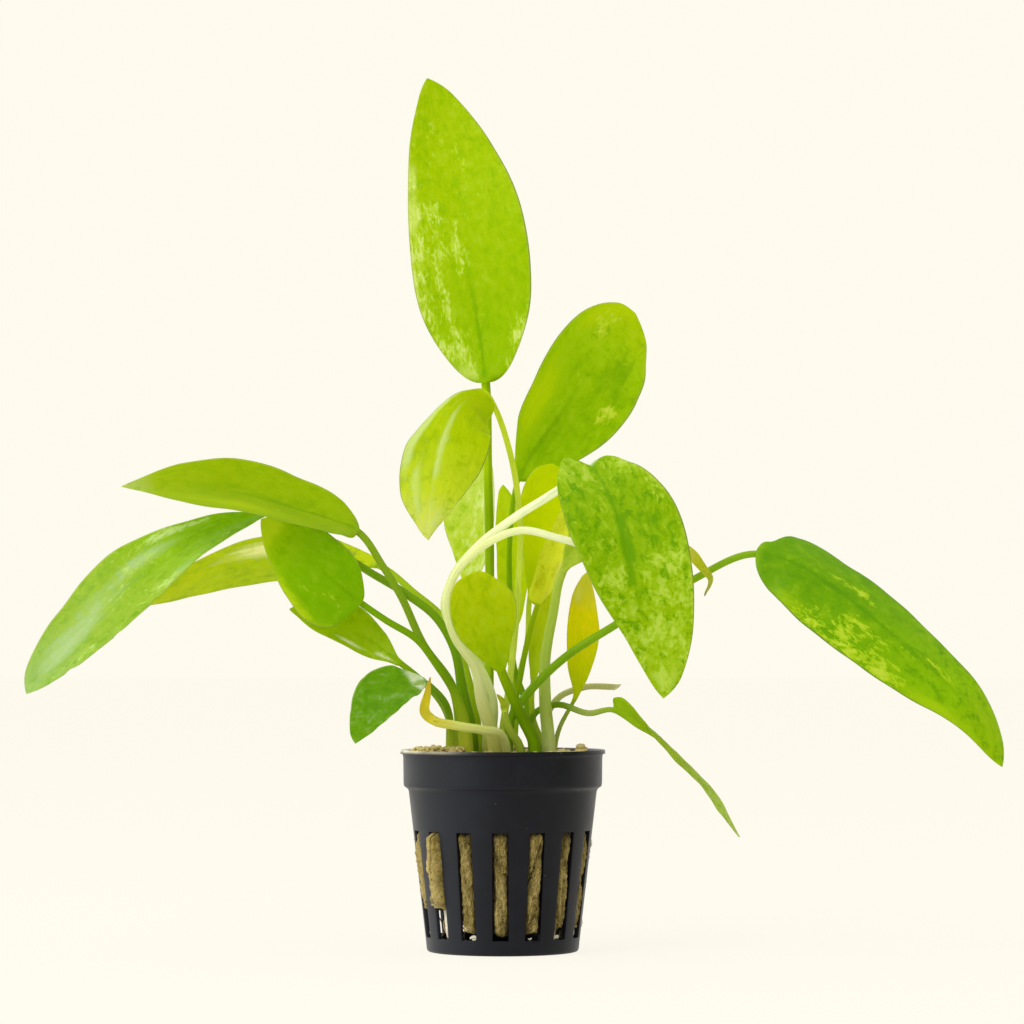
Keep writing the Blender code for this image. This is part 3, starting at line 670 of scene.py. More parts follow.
along = np.linspace(-0.5, 0.5, FIBRE_POINTS)[None]
slot = rng.integers(0, SLOTS, FIBRES)
middle = (SLOT_TURN + SECTOR * slot)[:, None]
start_angle = SLOT_TURN + SECTOR * slot + rng.uniform(-1, 1, FIBRES) * FIBRE_SPREAD / PLUG_RADIUS
start_height = rng.uniform(*FIBRE_HEIGHTS, FIBRES)
lean = rng.normal(0, FIBRE_LEAN, FIBRES)[:, None]
length = rng.uniform(*FIBRE_LENGTHS, FIBRES)[:, None]
bend = rng.normal(0, 0.35, (FIBRES, 1)) * along**2 + rng.normal(0, 0.04, (FIBRES, FIBRE_POINTS))
height = np.clip(start_height[:, None] + length * np.cos(lean) * along, 6.0, SLOT_ENDS[1])
sideways = length * (np.sin(lean) * along + bend)
limit = FIBRE_ASIDE / PLUG_RADIUS
swing = np.clip(start_angle[:, None] + sideways / PLUG_RADIUS - middle, -limit, limit)
angle = middle + swing
radius, shade = wool_side(angle, height)
height = np.maximum(height, wool_foot(angle) + 0.5)
radius = radius + 0.04 + 0.14 * rng.random((FIBRES, 1)) * (1 + np.sin(9 * along + lean))
radii = FIBRE_RADIUS * rng.uniform(0.5, 1.2, FIBRES)
whole = torn(slot[:, None], swing * PLUG_RADIUS, height).max(axis=1) < 0.4
# Fibres that cross the tear are left out, and the rest get the painted shade of the wool under them.
fibres = strands("rockwool_fibres", turned(radius, angle, height)[whole], radii[whole], FIBRE_SIDES)
note(fibres, "painted_wool_shade", np.repeat(shade[whole].ravel(), FIBRE_SIDES)[:, None] * (1.0, 0.0, 0.0))

centres = np.concatenate([
    np.stack([
        x + spread_x * rng.uniform(-1, 1, count), y + spread_y * rng.uniform(-1, 1, count),
        PLUG_TOP - 0.1 + tall * rng.random(count) ** 1.5,
    ], axis=-1)
    for x, y, spread_x, spread_y, tall, count in CRUMB_HEAPS
])[:, None, None]
crumb_count = len(centres)
sizes = rng.uniform(*CRUMB_SIZES, (crumb_count, 1, 1, 1))
sizes = sizes * rng.uniform(*CRUMB_STRETCH, (crumb_count, 1, 1, 3))
fall = np.radians(np.linspace(14, 166, CRUMB_ROWS))[::-1, None]
turn = 2 * math.pi * np.arange(CRUMB_TURNS)[None] / CRUMB_TURNS
ball = turned(np.sin(fall), turn, np.cos(fall))[None]
lumps = ball * rng.uniform(*CRUMB_DENTS, (crumb_count, CRUMB_ROWS, CRUMB_TURNS, 1)) * sizes
crumbs = bodies("rockwool_crumbs", centres + lumps * CRUMB_FLAT)

along = np.linspace(0, 1, ROOT_POINTS)[None]
slot, aside, start, sag, thick = ROOTS.T[:, :, None]
angle = SLOT_TURN + SECTOR * slot + (aside + sag * along**1.5) / ROOT_CIRCLE
angle = angle + 0.035 * np.sin(along * 9 + start)
height = ROOT_END + (start - ROOT_END) * (1 - along) ** 1.15
radius = inner_wall(height) - 1.2 + 0.5 * np.sin(along * 7 + sag)
roots = strands("roots", turned(radius, angle, height), thick[:, 0], ROOT_SIDES)

slot, aside, start, end_aside, end, thick = YOUNG_ROOTS_AS_GLINTS.T[:, :, None]
angle = SLOT_TURN + SECTOR * slot + (aside + (end_aside - aside) * along) / ROOT_CIRCLE
height = start + (end - start) * along + 0.15 * np.sin(along * 6 + aside * 5)
paths = turned(inner_wall(height) - 0.5, angle, height)
young_roots_as_glints = strands("young_roots_as_glints", paths, thick[:, 0], ROOT_SIDES)


def root_shader(name, scale, rough, stops):
    """Smooth root skin in two shades, mixed by noise."""
    finish, tree, shader = plain_shader(name)
    colour = ramp(tree, noise(tree, own_place(tree), scale, 3.0), stops)
    give(tree, shader, {"Base Color": colour, "Roughness": rough})
    return finish


tan = [(0.3, seen(108, 80, 48)), (0.7, seen(196, 172, 128))]
white = [(0.35, seen(206, 198, 170)), (0.6, seen(240, 236, 222))]
dressed = [
    (fibres, wool_shader("loose mineral wool", 0.28)), (crumbs, wool_shader("torn mineral wool", 0.36)),
    (roots, root_shader("root", 700.0, 0.6, tan)),
    (young_roots_as_glints, root_shader("young root glint", 900.0, 0.5, white)),
]
for piece, finish in dressed:
    piece.data.materials.append(finish)
    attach(piece, "root")

# ---------------------------------------------------------------------------------------------
# The upright leaves: the tall one in the middle and the broad one to its right. Each leaf is one
# growth, a round stalk that spreads into a thin blade with a midrib and veins that run from its
# base to its tip. Cream flecks are places that lack green, between the veins.

STALK_STEP = 1.6
BLADE_RINGS = 96
LEAF_CORNERS = 60
BLADE_THICK = 0.32
TIP_RADIUS = 0.12
ROOT_DEPTH = 2.2
PLUG_LEVEL = 51.6
VEINS = 4.4
# How far the blade stands up between its veins, and how deep its midrib's groove is at its base.
QUILTING = 0.05
GROOVE = 0.16
# A lobed blade's base faces the way that it grows at this share of its length, and its lobes end
# near the second share.
SETTLED = 0.1
LOBE_REACH = 0.16


def smooth(knots, values, at, flat_end=False):
    """Values at the places `at` of the smooth curve through `values` at `knots`: a cubic between
    each pair, with the slopes that its neighbours on both sides give."""
    knots, values, at = (np.asarray(given, float) for given in (knots, values, at))
    slopes = np.gradient(values, knots, axis=0)
    if flat_end:
        slopes[-1] = 0
    i = np.clip(np.searchsorted(knots, at, side="right") - 1, 0, len(knots) - 2)
    shape = (-1,) + (1,) * (values.ndim - 1)
    step = (knots[i + 1] - knots[i]).reshape(shape)
    t = ((at - knots[i]) / (knots[i + 1] - knots[i])).reshape(shape)
    start = (2 * t**3 - 3 * t**2 + 1) * values[i] + (t**3 - 2 * t**2 + t) * step * slopes[i]
    end = (3 * t**2 - 2 * t**3) * values[i + 1] + (t**3 - t**2) * step * slopes[i + 1]
    return start + end


def middle_line(base, points):
    """The points of a middle line, from the end that is in the wool, and how far along each is."""
    low = [(*base, PLUG_LEVEL - ROOT_DEPTH), (*base, PLUG_LEVEL + 1.3)]
    route = np.array(low + list(points), float)
    return route, walked(route)


def leaf_skin(
    base, stalk, rib, thick, left, right, turn=(0, 0, 0), cup=0.1, ripple=(0.25, 3, 0), lobes=(0, 0),
    sheath=(0, 9), nicks=(),
):
    """The skin of one leaf, as rings of corners, with what its colours need at each corner.

    The middle line is the smooth curve from the plug through the stalk's and the midrib's points.
    Each ring is an oval round it: across = width * w and lift = thickness * sqrt(1 - w * w), for w
    from 1 at the left margin to -1 at the right. In the blade the margins rise by cup * width *
    |w| ** 1.5, and ripple = (height, waves, start) adds a wave that fades towards the midrib. A
    keel stands below the midrib. lobes carry the margins back past the blade's base, nicks =
    (side, place, depth, length) bite into a margin, and sheath = (how much, how far up) widens the
    stalk above the plug, where it wraps its neighbours."""
    route, walk = middle_line(base, stalk + rib)
    blade_start, end = walk[len(stalk) + 1], walk[-1]
    stalk_rings = max(6, round(blade_start / STALK_STEP))
    share = (1 - np.cos(np.radians(np.linspace(0, 180, BLADE_RINGS + 1)[1:]))) / 2
    blade_at = blade_start + (end - blade_start) * share
    at = np.concatenate([np.linspace(0, blade_start, stalk_rings), blade_at])
    centre = smooth(walk, route, at)
    ahead = unit(np.gradient(centre, at, axis=0))
    # v is the place along the blade, and s the place along the stalk.
    v = np.clip((at - blade_start) / (end - blade_start), 0, 1)[:, None]
    s = np.clip(at / blade_start, 0, 1)[:, None]
    facing = ahead
    if any(lobes):
        settled = ahead[np.argmax(v[:, 0] >= SETTLED)]
        pull = np.interp(at - blade_start, (-6, 0), (0, 1))
        pull = pull * np.interp(v[:, 0], (SETTLED / 2, 2 * SETTLED), (1, 0))
        facing = unit(ahead + (settled - ahead) * pull[:, None])
    degrees = np.interp(v, np.linspace(0, 1, len(turn)), turn)
    angle = np.radians(degrees) * np.clip(2 * s, 0, 1)
    level = unit(np.cross(facing, (0, 1, 0)))
    sideways = level * np.cos(angle) + np.cross(facing, level) * np.sin(angle)
    upper = np.cross(facing, sideways)

    phi = 2 * math.pi * np.arange(LEAF_CORNERS)[None] / LEAF_CORNERS
    top = np.where(phi <= math.pi, 1.0, -1.0)
    even = 1 - 2 * np.minimum(phi, 2 * math.pi - phi) / math.pi
    in_blade = v > 0
    w = np.where(in_blade, 0.45 * np.cos(phi) + 0.55 * even, np.cos(phi))
    edge = np.abs(w)
    radius = np.interp(at, (0, blade_start, end), (*thick, TIP_RADIUS))[:, None]
    knots = np.linspace(0, 180, len(left) + 2)
    around = np.degrees(np.arccos(1 - 2 * v[:, 0]))
    halves = [
        np.where(in_blade, smooth(knots, (thick[1], *side, TIP_RADIUS), around, True)[:, None], radius)
        for side in (left, right)
    ]
    width = np.where(w > 0, halves[0], halves[1])
    width = width * (1 + sheath[0] * np.exp(-((np.clip(at[:, None] - 3, 0, None) / sheath[1]) ** 2)))
    for side, place, depth, length in nicks:
        width = width * (1 - (w * side > 0) * depth * np.exp(-(((v - place) / length) ** 2)))
    across = width * w

    thin = np.minimum(radius, BLADE_THICK / 2 + (radius - BLADE_THICK / 2) * np.exp(-v * 22))
    thin = thin * (1 + 0.05 * np.cos(6 * phi) * (1 - in_blade))
    lift = top * thin * np.sqrt(np.clip(1 - w * w, 0, 1))
    fade = np.clip(v * 7, 0, 1) * np.clip((1 - v) * 5, 0, 1)
    blade = np.clip(v * 12, 0, 1)
    lift = lift + blade * cup * width * edge**1.5
    tall, count, start = ripple
    wave = np.sin(2 * math.pi * count * v + start + 1.9 * (w > 0))
    wave = wave + 0.35 * np.sin(2 * math.pi * 2.7 * count * v + start)
    lift = lift + fade * tall * edge**2.4 * wave
    keel = np.exp(-((across / (radius * 0.9 + 0.15)) ** 2))
    lift = lift - blade * keel * np.where(top > 0, GROOVE * (1 - v), radius * (1 - 0.75 * v))
    quilt = np.cos(2 * math.pi * VEINS * edge) * np.clip(edge * 6, 0, 1) * (1 - edge**6)
    lift = lift - QUILTING * fade * quilt
    skin = centre[:, None] + across[..., None] * sideways[:, None] + lift[..., None] * upper[:, None]
    back = np.where(w > 0, *lobes) * edge * (1 - 0.57 * edge**3.5) * np.exp(-((v / LOBE_REACH) ** 2))
    back = back * np.clip(v * 40, 0, 1)
    skin = skin - back[..., None] * facing[:, None]
    growth = np.stack(np.broadcast_arrays(across, at[:, None] - blade_start, top), axis=-1)
    return skin, growth, np.stack(np.broadcast_arrays(w, v, s), axis=-1)


def build_marbling():
    """A node group for a leaf's flecks. Broad noise gathers them, noise drawn out along the veins
    shapes them, and fine noise frays them. They show where the sum passes a limit that the given
    weight lowers: Mask has them all and Core their whitest part. Cloud is a mottled tone, Streak
    runs along the blade, and Uneven, a sum of them near 0, frays the edges of painted areas."""
    numbers, results = ["Weight", "Seed", "Size", "Stretch"], ["Mask", "Core", "Cloud", "Streak", "Uneven"]
    group, given = new_group("cream flecks", ["Growth"], numbers, results)
    growth, seed = given["Growth"], given["Seed"]
    flat = node(group, "ShaderNodeMapping", {"Vector": growth, "Scale": (1.0, 0.8, 0.0)}).outputs[0]
    draw = node(group, "ShaderNodeCombineXYZ", {0: 1.0, 1: given["Stretch"]}).outputs[0]
    long = node(group, "ShaderNodeVectorMath", {0: growth, 1: draw}, operation="MULTIPLY").outputs[0]
    broad = noise(group, flat, 0.16, 2.0, 0.5, 0.3, seed)
    fleck = noise(group, long, given["Size"], 5.0, 0.62, 1.6, seed)
    fine = noise(group, long, maths(group, "MULTIPLY", given["Size"], 3.4), 3.0, 0.6, 0.5, seed)
    level = maths(group, "MULTIPLY_ADD", broad, 0.5, fleck)
    level = maths(group, "MULTIPLY_ADD", fine, 0.5, level)
    level = maths(group, "MULTIPLY_ADD", maths(group, "MINIMUM", given["Weight"], 0.8), 0.3, level)
    cloud = noise(group, flat, 0.4, 7.0, 0.74, 0.6, seed)
    along = node(group, "ShaderNodeMapping", {"Vector": growth, "Scale": (0.9, 0.09, 0.2)}).outputs[0]
    streak = noise(group, along, 1.0, 4.0, seed=maths(group, "ADD", seed, 3.0))
    uneven = maths(group, "MULTIPLY_ADD", streak, 0.6, maths(group, "SUBTRACT", cloud, 0.95))
    node(group, "NodeGroupOutput", {
        "Mask": ease(group, level, 1.17, 1.215), "Core": ease(group, level, 1.25, 1.33),
        "Cloud": cloud, "Streak": streak, "Uneven": maths(group, "MULTIPLY_ADD", fine, 0.3, uneven),
    })
    return group


def build_veins():
    """A node group for the blade's veins: a few from base to tip at even shares of the width, and
    thin slanting ones between them. Line is the veins' mask and Height their relief."""
    group, given = new_group("leaf veins", ["Place", "Growth"], [], ["Line", "Midrib", "Height"])
    growth = parts(group, given["Growth"])
    edge = maths(group, "ABSOLUTE", parts(group, given["Place"])["X"])
    apart = maths(group, "PINGPONG", maths(group, "MULTIPLY", edge, VEINS), 0.5)
    main = maths(group, "SUBTRACT", 1.0, ease(group, apart, 0.02, 0.13))
    aside = maths(group, "ABSOLUTE", growth["X"])
    wander = noise(group, given["Growth"], 0.5)
    slant = maths(group, "MULTIPLY_ADD", growth["Y"], 0.55, maths(group, "MULTIPLY", aside, -0.38))
    slant = maths(group, "MULTIPLY_ADD", wander, 0.8, slant)
    cross = maths(group, "SUBTRACT", 1.0, ease(group, maths(group, "PINGPONG", slant, 0.5), 0.02, 0.16))
    line = maths(group, "MAXIMUM", main, maths(group, "MULTIPLY", cross, 0.4))
    middle = maths(group, "MULTIPLY_ADD", wander, 2.0, maths(group, "MULTIPLY", aside, -1.0))
    values = {"Vector": given["Growth"], "Scale": 1.4}
    cell = node(group, "ShaderNodeTexVoronoi", values, feature="DISTANCE_TO_EDGE").outputs[0]
    node(group, "NodeGroupOutput", {
        "Line": line, "Midrib": ease(group, middle, 0.1, 1.0),
        "Height": maths(group, "MULTIPLY_ADD", line, -0.6, maths(group, "MULTIPLY", cell, 0.5)),
    })
    return group


MARBLING = build_marbling()
VEINING = build_veins()


def leaf_finish(
    name, blade, stem, fleck=(182, 212, 60), core=(206, 224, 112), pale=(214, 228, 120),
    dark=(120, 166, 0), midrib=None, rib_end=0.5, rim=(190, 210, 96), size=0.5, stretch=0.42,
    seed=0.0, flecks=-0.5, mottle=0.75, shade=0.0, rough=0.42, shine=0.05, through=0.5,
):
    """Leaf skin: its colours along the blade and the stem, then mottling, the pale areas (paler patches
    and painted sheen), the dark areas (darker patches and painted shade), flecks, veins, midrib and a
    margin partly lightened as painted light, laid over them. shade is painted shade on the stem's
    right side. Part of the light goes through, tinted twice by the blade."""
    finish, tree, shader = plain_shader(name)
    growth, place = noted(tree, "growth"), noted(tree, "place")
    where, area = parts(tree, place), parts(tree, noted(tree, "zones"))
    values = {
        "Growth": growth, "Weight": maths(tree, "ADD", area["X"], flecks), "Seed": seed, "Size": size,
        "Stretch": stretch,
    }
    marks = node(tree, "ShaderNodeGroup", values, node_tree=MARBLING).outputs
    veins = node(tree, "ShaderNodeGroup", {"Place": place, "Growth": growth}, node_tree=VEINING).outputs
    streak, uneven = marks["Streak"], marks["Uneven"]

    def part(share, low, high, most):
        return maths(tree, "MULTIPLY", ease(tree, share, low, high), most)

    body = ramp(tree, where["Y"], [(at, seen(*colour)) for at, colour in blade.items()])
    layers = [
        (part(marks["Cloud"], 0.49, 0.64, mottle), dark),
        (part(marks["Cloud"], 0.49, 0.34, 0.45 * mottle), fleck),
        (part(streak, 0.5, 0.75, 0.3), dark),
        # Pale areas are paler patches and painted sheen; dark areas are darker patches and painted shade.
        (part(maths(tree, "ADD", area["Y"], uneven), 0.2, 0.8, 0.9), pale),
        (part(maths(tree, "ADD", area["Z"], uneven), 0.2, 0.8, 0.9), dark),
        (maths(tree, "MULTIPLY", marks["Mask"], 0.8), fleck),
        (maths(tree, "MULTIPLY", marks["Core"], 0.8), core),
        (maths(tree, "MULTIPLY", veins["Line"], 0.05), dark),
    ]
    if midrib:
        fading = maths(tree, "SUBTRACT", 1.0, ease(tree, where["Y"], 0.3 * rib_end, rib_end))
        fading = maths(tree, "MULTIPLY", fading, 0.85)
        layers.append((maths(tree, "MULTIPLY", veins["Midrib"], fading), midrib))
    # The margin's own colour, lightened as painted light on an edge that renders dark.
    layers.append((part(maths(tree, "ABSOLUTE", where["X"]), 0.95, 1.0, 0.55), rim))
    for share, colour in layers:
        body = blend(tree, share, body, seen(*colour))
    skin = ramp(tree, where["Z"], [(at, seen(*colour)) for at, colour in stem.items()])
    skin = blend(tree, part(streak, 0.4, 0.8, 0.6), skin, seen(*dark))
    # Painted shade on the stem's right side.
    if shade:
        shadow = seen(*(0.68 * value for value in dark))
        skin = blend(tree, part(where["X"], 0.0, -0.8, shade), skin, shadow)
    colour = blend(tree, ease(tree, where["Y"], 0.0, 0.03), skin, body)
    give(tree, shader, {
        "Base Color": colour, "Specular IOR Level": shine,
        "Roughness": maths(tree, "MULTIPLY_ADD", streak, 0.2, rough - 0.1),
        "Normal": bump(tree, veins["Height"], 0.25, 0.25),
    })
    glow = node(tree, "ShaderNodeGamma", {"Color": colour, "Gamma": 0.45}).outputs[0]
    shining = node(tree, "ShaderNodeBsdfTranslucent", {"Color": glow}).outputs[0]
    mixed = node(tree, "ShaderNodeMixShader", {0: through, 1: shader.outputs[0], 2: shining}).outputs[0]
    give(tree, tree.nodes["Material Output"], {0: mixed})
    return finish


def zone_weights(place, spots):
    """The strength of painted areas: each spot is (w, v, half width, half length, strength), and
    adds strength * exp(-(dw / half width) ** 2 - (dv / half length) ** 2)."""
    total = np.zeros(place.shape[:2])
    for w, v, wide, tall, strong in spots:
        total += strong * np.exp(-(((place[..., 0] - w) / wide) ** 2) - ((place[..., 1] - v) / tall) ** 2)
    return total


LEAF_SHAPE = (
    "base", "stalk", "rib", "thick", "left", "right", "turn", "cup", "ripple", "lobes", "sheath", "nicks",
)


def plant_leaf(cad_node, slot, blade, stem, flecked_and_glints=(), paled_and_sheen=(), darkened_and_shade=(), **given):
    """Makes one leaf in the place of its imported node. blade and stem are its colours by their
    place along each, and given holds what else leaf_skin and leaf_finish take."""
    skin, growth, place = leaf_skin(**{key: given.pop(key) for key in LEAF_SHAPE if key in given})
    # The three painted weights: flecks and painted glints, pale patches and painted sheen, dark patches
    # and painted shade.
    zones = np.stack([zone_weights(place, spots) for spots in (flecked_and_glints, paled_and_sheen, darkened_and_shade)], axis=-1)
    name = cad_node + "_blade"
    notes = {"growth": growth, "place": place, "zones": zones}
    piece = surface(name, skin, closed=True, caps=(0, -1), notes=notes)
    piece.data.materials.append(leaf_finish(name, blade, stem, **given))
    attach(piece, "root")
    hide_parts(cad_node)


plant_leaf(
    "leaf_tall", "leaf_lime", base=(-2.5, 1.5), thick=(1.25, 1.15), turn=(-12, -4, 14), cup=0.12,
    ripple=(0.3, 2.5, 0.4),
    stalk=[(-3.5, 2, 65.5), (-3.5, 3, 81), (-3.5, 4, 107), (-4, 4, 128), (-4.5, 3, 148.5)],
    rib=[(-6.5, 2, 163.5), (-9.5, 1, 180), (-13, 2, 198), (-16.5, 5, 213), (-20, 9, 229.5)],
    left=(8.3, 14.2, 13.5, 9.3, 3.6), right=(8.5, 15.4, 17, 12.4, 5.6),
    blade={0: (150, 190, 0), 0.3: (158, 193, 0), 0.7: (165, 196, 0), 1: (160, 190, 0)},
    stem={
        0: (160, 190, 40), 0.3: (168, 202, 20), 0.66: (150, 190, 6), 0.76: (192, 224, 16),
        0.93: (192, 224, 16), 1: (150, 190, 0),
    },
    dark=(136, 182, 0), midrib=(116, 168, 0), rib_end=0.45, seed=1.7, flecks=-0.12, shade=0.6,
    fleck=(186, 214, 54), core=(216, 230, 134), size=0.8, stretch=0.35, mottle=0.8,
    flecked_and_glints=[
        (0.94, 0.48, 0.17, 0.34, 1.4), (0.5, 0.24, 0.09, 0.16, 0.85), (0.6, 0.08, 0.5, 0.1, 0.85),
        (0.5, 0.56, 0.16, 0.05, 0.8), (-0.85, 0.12, 0.25, 0.11, 1.0), (0.15, 0.62, 0.5, 0.3, 0.36),
        (-0.3, 0.72, 0.15, 0.12, 0.5), (0.6, 0.4, 0.3, 0.2, 0.25), (0.1, 0.42, 0.16, 0.1, 0.5),
    ],
    paled_and_sheen=[(0.95, 0.56, 0.2, 0.06, 1.0), (0.9, 0.69, 0.16, 0.05, 0.6), (0.7, 0.03, 0.5, 0.05, 0.6)],
    darkened_and_shade=[(-0.1, 0.14, 0.3, 0.2, 0.4), (0.1, 0.4, 0.5, 0.14, 0.25), (-0.3, 0.8, 0.4, 0.12, 0.2)],
)
plant_leaf(
    "leaf_upper_right", "leaf_lime", base=(7.5, 6.5), thick=(0.9, 0.65), turn=(12, 15, 20), cup=0.16,
    ripple=(0.3, 2, 2.0),
    stalk=[(6.5, 7.5, 63), (3, 9, 73.5), (2, 12, 89), (2, 15, 110), (4, 18, 123.5)],
    rib=[(10.5, 22, 134.5), (17.5, 26, 144.5), (24, 31, 155.5), (29.5, 37, 163.5), (36, 43, 170)],
    left=(3.2, 10, 12.5, 11.5, 6), right=(5, 11.5, 15.5, 14.5, 9),
    blade={0: (156, 196, 0), 0.4: (154, 198, 0), 0.75: (164, 204, 0), 1: (178, 206, 0)},
    stem={0: (128, 168, 20), 0.5: (130, 172, 10), 1: (140, 180, 6)},
    dark=(128, 176, 0), pale=(186, 212, 0), midrib=(124, 172, 0), rib_end=0.6, seed=4.3, flecks=-0.3,
    fleck=(196, 218, 40), core=(212, 228, 84), size=0.6,
    flecked_and_glints=[(0.4, 0.84, 0.45, 0.12, 1.0), (-0.68, 0.46, 0.2, 0.06, 1.6), (0.3, 0.35, 0.3, 0.1, 0.4)],
    paled_and_sheen=[(0.7, 0.35, 0.45, 0.3, 0.75), (0.3, 1.0, 0.8, 0.1, 0.8), (0.75, 0.85, 0.3, 0.14, 0.7)],
    darkened_and_shade=[(-0.1, 0.2, 0.35, 0.25, 0.5), (-0.5, 0.66, 0.4, 0.2, 0.6), (0.2, 0.6, 0.3, 0.12, 0.3)],
)

# ---------------------------------------------------------------------------------------------
# The leaves at the front: the big marbled one hangs from a pale arched stalk, a second such arch
# ends in a small withered curl, a small round leaf stands before them, and a light one droops.

plant_leaf(
    "leaf_mottled_front", "leaf_mottled", base=(-3.7, -3.5), thick=(1.2, 1.0), turn=(8, 4, -8),
    cup=0.14, ripple=(0.3, 3, 1.0), lobes=(1.7, 11.2), sheath=(0.5, 20),
    stalk=[
        (-3, -5, 65.5), (-6, -8, 73.5), (-11.5, -11, 81.5), (-15, -12, 89.5), (-13, -13, 97),
        (-6.5, -16, 105), (2.5, -19, 112), (11.5, -25, 117.5), (18.5, -31, 122), (22, -34, 125),
    ],
    rib=[(25.5, -38, 120), (29.5, -42, 110), (32.5, -46, 97), (36, -49, 83.5), (40, -54, 66.5)],
    left=(7, 14.3, 15.3, 11.5, 5.6), right=(9.8, 12.7, 10.2, 5.6, 2.2),
    blade={0: (140, 180, 0), 0.35: (138, 178, 0), 0.7: (148, 184, 0), 1: (160, 190, 10)},
    stem={
        0: (184, 186, 80), 0.07: (208, 212, 120), 0.13: (230, 234, 166), 0.3: (240, 246, 178),
        0.6: (250, 253, 206), 1: (252, 254, 224),
    },
    fleck=(164, 198, 38), core=(188, 212, 80), midrib=(104, 158, 0), rib_end=0.7, seed=8.1, size=0.33,
    stretch=0.8, flecks=0.5, dark=(106, 158, 0), pale=(190, 212, 80), mottle=1.6, rim=(176, 198, 80),
    flecked_and_glints=[
        (0.45, 0.55, 0.35, 0.1, 0.45), (-0.5, 0.6, 0.4, 0.25, 0.3), (0.35, 0.8, 0.7, 0.2, 0.35),
        (-0.7, 0.04, 0.35, 0.08, 0.2), (0.1, 0.08, 0.4, 0.05, 0.1), (0.75, 0.14, 0.3, 0.12, 0.1),
        (0.02, 0.4, 0.13, 0.2, -1.6), (0.5, 0.3, 0.35, 0.12, -0.9), (-0.65, 0.28, 0.35, 0.1, -0.7),
        (0.5, 0.7, 0.2, 0.08, -0.4),
    ],
    paled_and_sheen=[(0.6, 0.93, 0.3, 0.1, 0.5), (0.95, 0.15, 0.06, 0.14, 0.5)],
    darkened_and_shade=[(0.0, 0.4, 0.11, 0.2, 0.9), (0.45, 0.3, 0.35, 0.12, 0.4), (-0.6, 0.28, 0.3, 0.12, 0.4)],
)
plant_leaf(
    "leaf_curled_tip", "leaf_pale", base=(-2, -7.5), thick=(1.1, 0.9), turn=(0, 20, 40), cup=0.3,
    ripple=(0.2, 2, 0), sheath=(0.75, 20),
    stalk=[
        (-5.5, -10, 65.5), (-7, -13, 73.5), (-12.5, -16, 82), (-14.5, -18, 90), (-12, -19, 98),
        (-5, -21, 105), (4.5, -22, 109), (14.5, -22, 107), (27.5, -22, 103.5), (38, -22, 104.8),
        (44.5, -22, 105.2),
    ],
    rib=[(48.6, -22, 102.6), (51.2, -22.3, 99.6), (53.2, -22.8, 96.6), (51.6, -24, 92.2)],
    left=(1.3, 1.5, 1.2, 0.7, 0.4), right=(1.3, 1.5, 1.2, 0.7, 0.4),
    blade={0: (216, 212, 80), 0.4: (200, 202, 20), 0.8: (190, 198, 60), 1: (160, 150, 80)},
    stem={
        0: (184, 182, 84), 0.08: (208, 208, 124), 0.2: (226, 230, 168), 0.55: (244, 248, 186),
        0.75: (251, 253, 222), 1: (226, 232, 120),
    },
    seed=2.2, dark=(204, 212, 110),
)
plant_leaf(
    "leaf_round_front", "leaf_lime", base=(8.5, -7), thick=(1.7, 1.2), ripple=(0.2, 2, 1.0),
    stalk=[(5, -9, 61), (2, -14, 67.5), (-0.5, -19, 73.5)],
    rib=[(-2, -23, 79), (-3.5, -27, 85), (-5, -31, 92), (-6, -33, 98.5)], left=(2.5, 5.7, 8.7, 8.7, 6),
    right=(2.3, 4.4, 7.2, 7.7, 3.4),
    blade={0: (160, 192, 0), 0.4: (178, 202, 0), 1: (190, 206, 6)},
    stem={0: (116, 160, 10), 0.6: (128, 170, 6), 1: (152, 186, 0)},
    seed=5.5, dark=(150, 184, 0), midrib=(148, 184, 0), shade=0.4,
    # The dark area near the base is painted shade.
    darkened_and_shade=[(0, 0.05, 0.5, 0.15, 0.3)],
)
plant_leaf(
    "leaf_drooping", "leaf_yellow", base=(-0.5, 6.5), thick=(0.9, 0.75), turn=(0, 4, 10), cup=-0.16,
    ripple=(0.6, 2.4, 0.5), lobes=(1.2, 0.6),
    stalk=[
        (1.5, 6, 68), (3, 5, 81), (4, 4, 94), (4.5, 3, 112.5), (1.5, 2, 131.5), (-2, 0, 141.5),
        (-4.5, -3, 145.5),
    ],
    rib=[(-8, -6, 144), (-11.5, -10, 139.5), (-14, -14, 131.5), (-16, -18, 121), (-19, -23, 106.5)],
    left=(6.8, 9.9, 10, 5.5, 1.3), right=(1.8, 5.8, 11, 10, 3.6),
    blade={0: (170, 196, 0), 0.4: (176, 200, 0), 0.72: (192, 210, 36), 1: (214, 218, 112)},
    stem={0: (206, 220, 80), 0.5: (224, 238, 90), 1: (210, 226, 30)},
    pale=(204, 222, 134), seed=3.4, dark=(156, 186, 0), rim=(160, 182, 104), mottle=0.8,
    fleck=(204, 220, 30), flecks=-0.3,
    # The pale bands along the midrib and near a margin are painted sheen on the folds.
    paled_and_sheen=[
        (-0.15, 0.42, 0.12, 0.3, 0.75), (-0.92, 0.36, 0.14, 0.28, 1.1), (0.2, 0.9, 0.9, 0.12, 0.5),
        (-0.6, 0.68, 0.14, 0.16, 0.55), (-0.5, 0.2, 0.06, 0.14, 0.4),
    ],
    darkened_and_shade=[(0.5, 0.3, 0.3, 0.2, 0.25)],
)

# ---------------------------------------------------------------------------------------------
# The leaves on the right: the long one that hangs out, the narrow one seen on edge below it, and
# the small golden one, which is on its way out.

